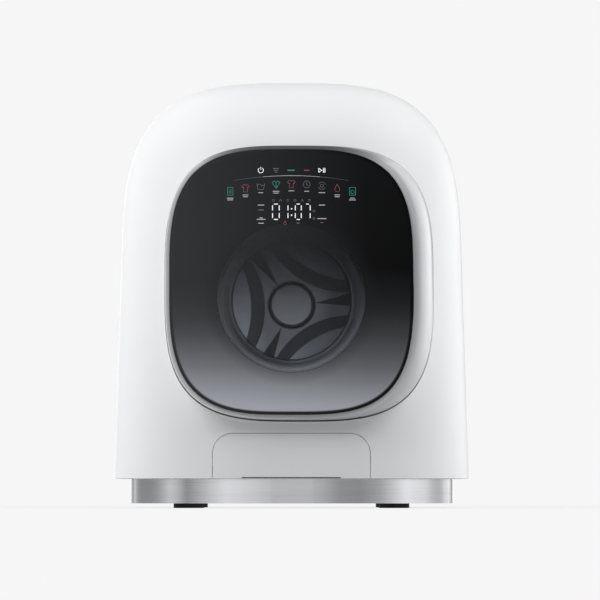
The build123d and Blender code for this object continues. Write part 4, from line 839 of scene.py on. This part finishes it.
def clock(pen, x, z, size):
    half = size / 2
    pen.circle(x, z, 0.9 * half, thin)
    pen.trace(x, z, size, (0, 0.55), (0, 0), (0.4, -0.2))


def swirl(pen, x, z, size):
    half = size / 2
    pen.arc(x, z, 0.95 * half, 20, 150, thin)
    pen.arc(x, z, 0.95 * half, 200, 330, thin)
    pen.circle(x, z, 0.4 * half, thin, 10)


def drop(pen, x, z, size):
    half = size / 2
    pen.arc(x, z - 0.3 * half, 0.65 * half, 150, 390, thin)
    pen.trace(x, z, size, (-0.56, 0.02), (0, 1), (0.56, 0.02))


def washer(pen, x, z, size):
    half = size / 2
    pen.trace(x, z, size, (-0.8, 1), (0.8, 1), (0.8, -1), (-0.8, -1), (-0.8, 1))
    pen.circle(x, z - 0.15 * half, 0.45 * half, thin, 12)


# The row of programs stands on a shallow arch, each with one or two label lines under it.
icon_pitch = 0.0182
icon_top = 0.3857
icon_drop = 0.0087
icon_size = 0.0092
label_below = 0.0082
label_pitch = 0.0021
icons = [
    (list_sheet, "teal", 2), (shirt, "red", 2), (basket, "grey", 1),
    (fan_leaf, "teal", 2), (shirt, "red", 1), (clock, "grey", 1),
    (swirl, "grey", 1), (drop, "red", 2), (washer, "teal", 2),
]
for place, (draw, colour, lines) in enumerate(icons):
    step = place - 4
    x = icon_pitch * step
    z = icon_top - icon_drop * (step / 4) ** 2
    draw(marks[colour], x, z, icon_size)
    for line in range(lines):
        width = 0.0078 - 0.0011 * ((place + line) % 3)
        marks["label"].bar(x, z - label_below - label_pitch * line, width, 0.0009)

# Top row: power, a menu mark, two short words as bars, and start/pause.
top_z = 0.4021
power_x = -2 * icon_pitch
marks["white"].arc(power_x, top_z, 0.0031, 125, 415, 0.0006)
marks["white"].line([(power_x, top_z + 0.0038), (power_x, top_z + 0.0008)], 0.0006)
for row in range(3):
    marks["grey"].bar(-icon_pitch, top_z + 0.0022 - 0.0022 * row, 0.0072 - 0.002 * row, 0.0008)
marks["teal"].bar(-0.0004, top_z, 0.0088, 0.0013)
marks["red"].bar(icon_pitch, top_z, 0.0064, 0.0012)
play_x = 2 * icon_pitch - 0.0026
marks["white"].line([
    (play_x - 0.0012, top_z - 0.0024), (play_x - 0.0012, top_z + 0.0024),
    (play_x + 0.0025, top_z), (play_x - 0.0012, top_z - 0.0024),
], 0.0007)
for side in (0.0018, 0.0036):
    marks["white"].bar(2 * icon_pitch + side, top_z, 0.0009, 0.0056)

# The thin arc under the top row, tapering to its ends.
arc_half = 0.068
arc_steps = 24
arc_points = []
for step in range(arc_steps + 1):
    x = -arc_half + 2 * arc_half * step / arc_steps
    arc_points.append((x, 0.3957 - 0.0058 * (x / arc_half) ** 2))
for step in range(arc_steps):
    share = 1 - abs(step - 11.5) / 12.5
    pen = marks["label" if share > 0.55 else "grey"]
    pen.line(arc_points[step:step + 2], 0.0002 + 0.0004 * share)

# Status marks above the clock.
status_z = 0.3661
for step in range(6):
    x = 0.0086 * (step - 2.5)
    if step % 3 == 0:
        marks["grey"].circle(x, status_z, 0.0014, 0.0005, 10)
    elif step % 3 == 1:
        foot_z = status_z - 0.0012
        tip = (x, status_z + 0.0014)
        marks["grey"].line([(x - 0.0014, foot_z), tip, (x + 0.0014, foot_z)], 0.0006)
    else:
        marks["grey"].bar(x, status_z + 0.0007, 0.0028, 0.0006)
        marks["grey"].bar(x, status_z - 0.0009, 0.0028, 0.0006)

# The clock.
digit_low = 0.3433
digit_high = 0.3617
digit_stroke = 0.0010
corner_gap = 0.0020
segments = {"0": "abcdef", "1": "bc", "7": "abc"}


def digit(figure, left, right):
    """Strokes that stand apart at their corners, as the segments of a display do."""
    middle = (digit_low + digit_high) / 2
    runs = {
        "a": [(left + corner_gap, digit_high), (right - corner_gap, digit_high)],
        "b": [(right, digit_high - corner_gap), (right, middle + corner_gap)],
        "c": [(right, middle - corner_gap), (right, digit_low + corner_gap)],
        "d": [(left + corner_gap, digit_low), (right - corner_gap, digit_low)],
        "e": [(left, middle - corner_gap), (left, digit_low + corner_gap)],
        "f": [(left, digit_high - corner_gap), (left, middle + corner_gap)],
    }
    for segment in segments[figure]:
        marks["white"].line(runs[segment], digit_stroke)


digit("0", -0.0224, -0.0144)
digit("1", -0.0105, -0.0040)
digit("0", 0.0047, 0.0118)
digit("7", 0.0160, 0.0224)
for z in (0.3560, 0.3484):
    marks["white"].bar(0.0003, z, 0.0015, 0.0015)

# Label lines and small signs beside and under the clock.
for x, z, width, colour in (
    (-0.0360, 0.3605, 0.0076, "label"),
    (-0.0360, 0.3546, 0.0064, "grey"),
    (-0.0360, 0.3452, 0.0036, "label"),
    (-0.0360, 0.3434, 0.0104, "label"),
    (-0.0360, 0.3388, 0.0066, "label"),
    (0.0364, 0.3605, 0.0074, "label"),
    (0.0364, 0.3443, 0.0108, "label"),
    (0.0364, 0.3396, 0.0030, "amber"),
    (0.0079, 0.3391, 0.0036, "grey"),
):
    marks[colour].bar(x, z, width, 0.0010)
for z in (0.3534, 0.3445):
    marks["grey"].circle(0.0269, z, 0.0013, 0.0005, 10)
drop(marks["amber"], -0.0075, 0.3391, 0.0046)

for pen in marks.values():
    pen.build()


# ==== Stage, lights and camera ====================================================================
background = plain(0.922)


def floor_material():
    """A pale floor that takes shadows near the object and fades into the backdrop further out."""
    paint = Paint("studio_floor")
    path = paint.node("ShaderNodeLightPath").outputs
    sharp = paint.math("MAXIMUM", path["Is Glossy Ray"], path["Is Transmission Ray"])
    sight = paint.math("MAXIMUM", path["Is Camera Ray"], sharp)
    reach = paint.length(paint.axis("X"), paint.axis("Y"))
    share = paint.times(sight, paint.span(reach, 0.8, 1.0, 0.3, 1.1))
    tone = paint.mix(sight, plain(0.42), plain(0.82))
    matt = paint.node("ShaderNodeBsdfDiffuse", {"Color": tone}).outputs[0]
    lit = paint.node("ShaderNodeEmission", {"Color": background, "Strength": 1.0}).outputs[0]
    both = paint.node("ShaderNodeMixShader", {0: share, 1: matt, 2: lit}).outputs[0]
    paint.tree.links.new(both, paint.output.inputs["Surface"])
    return paint.material


bpy.ops.mesh.primitive_plane_add(size=60, location=(0, 0, -0.0001))
floor = bpy.context.object
floor.name = "studio_floor"
floor.data.materials.append(floor_material())


class Sky(Paint):
    """The world's node tree; its coordinates are directions."""

    def __init__(self, name):
        self.world = bpy.data.worlds.new(name)
        self.world.use_nodes = True
        self.tree = self.world.node_tree
        self.tree.nodes.clear()
        self.output = self.tree.nodes.new("ShaderNodeOutputWorld")
        self.coords = self.tree.nodes.new("ShaderNodeTexCoord").outputs["Generated"]

    def light(self, colour):
        return self.node("ShaderNodeBackground", {"Color": colour}).outputs[0]

    def either(self, share, first, second):
        return self.node("ShaderNodeMixShader", {0: share, 1: first, 2: second}).outputs[0]


# Rough surfaces get a faint even light, polished ones see soft bright and dim walls under a dim
# ceiling, and the camera sees the pale backdrop.
sky = Sky("studio")
scene.world = sky.world
sky.world.cycles.sampling_method = "NONE"
path = sky.node("ShaderNodeLightPath").outputs
walls = sky.ramp(
    sky.rise(sky.axis("X"), -1.0, 1.0),
    (0.01, plain(0.0)), (0.04, plain(0.3)), (0.09, plain(1.1)), (0.12, plain(0.85)),
    (0.17, plain(0.0)), (0.33, plain(1.7)), (0.45, plain(1.2)), (0.60, plain(0.1)),
    (0.68, plain(0.0)), (0.76, plain(0.38)), (0.88, plain(2.0)), (0.97, plain(1.55)),
    (1.0, plain(0.7)),
)
ceiling = sky.rise(sky.axis("Z"), 0.10, 0.60, 0.85)
studio = sky.light(sky.mix(ceiling, walls, plain(0.15)))
even = sky.light((0.03, 0.03, 0.032))
backdrop = sky.light(background)
seen = sky.math("MAXIMUM", path["Is Camera Ray"], path["Is Transmission Ray"])
lit = sky.either(path["Is Glossy Ray"], even, studio)
sky.tree.links.new(sky.either(seen, lit, backdrop), sky.output.inputs["Surface"])


def softbox(name, place, aim, width, height, power):
    light = bpy.data.lights.new(name, "AREA")
    light.shape = "RECTANGLE"
    light.size = width
    light.size_y = height
    light.energy = power
    lamp = bpy.data.objects.new(name, light)
    scene.collection.objects.link(lamp)
    lamp.location = place
    lamp.rotation_euler = (Vector(aim) - Vector(place)).to_track_quat("-Z", "Y").to_euler()
    lamp.visible_camera = False
    lamp.visible_glossy = False


middle = (0, 0, 0.26)
softbox("left_box", (-2.4, 0.0, 0.5), middle, 1.6, 0.9, 22)
softbox("right_box", (2.4, 0.1, 0.5), middle, 1.6, 0.9, 25)
softbox("top_left_box", (-1.5, -1.1, 2.0), middle, 1.4, 1.4, 44)
softbox("top_right_box", (1.6, -0.9, 2.0), middle, 1.4, 1.4, 34)
softbox("back_box", (0, 3.2, 1.2), middle, 2.4, 1.8, 48)
softbox("drum_lamp", (0, -0.09, drum_z), (0, 0.03, drum_z), 0.11, 0.11, 0.06)

camera_tilt = 2.225
camera_data = bpy.data.cameras.new("camera")
camera_data.lens = 293.0
camera_data.sensor_width = 36.0
camera_data.clip_end = 100
camera = bpy.data.objects.new("camera", camera_data)
scene.collection.objects.link(camera)
camera.location = (0.0103, -6.0, 0.022)
camera.rotation_euler = (math.radians(90 + camera_tilt), 0, 0)
scene.camera = camera

scene.view_settings.view_transform = "Standard"
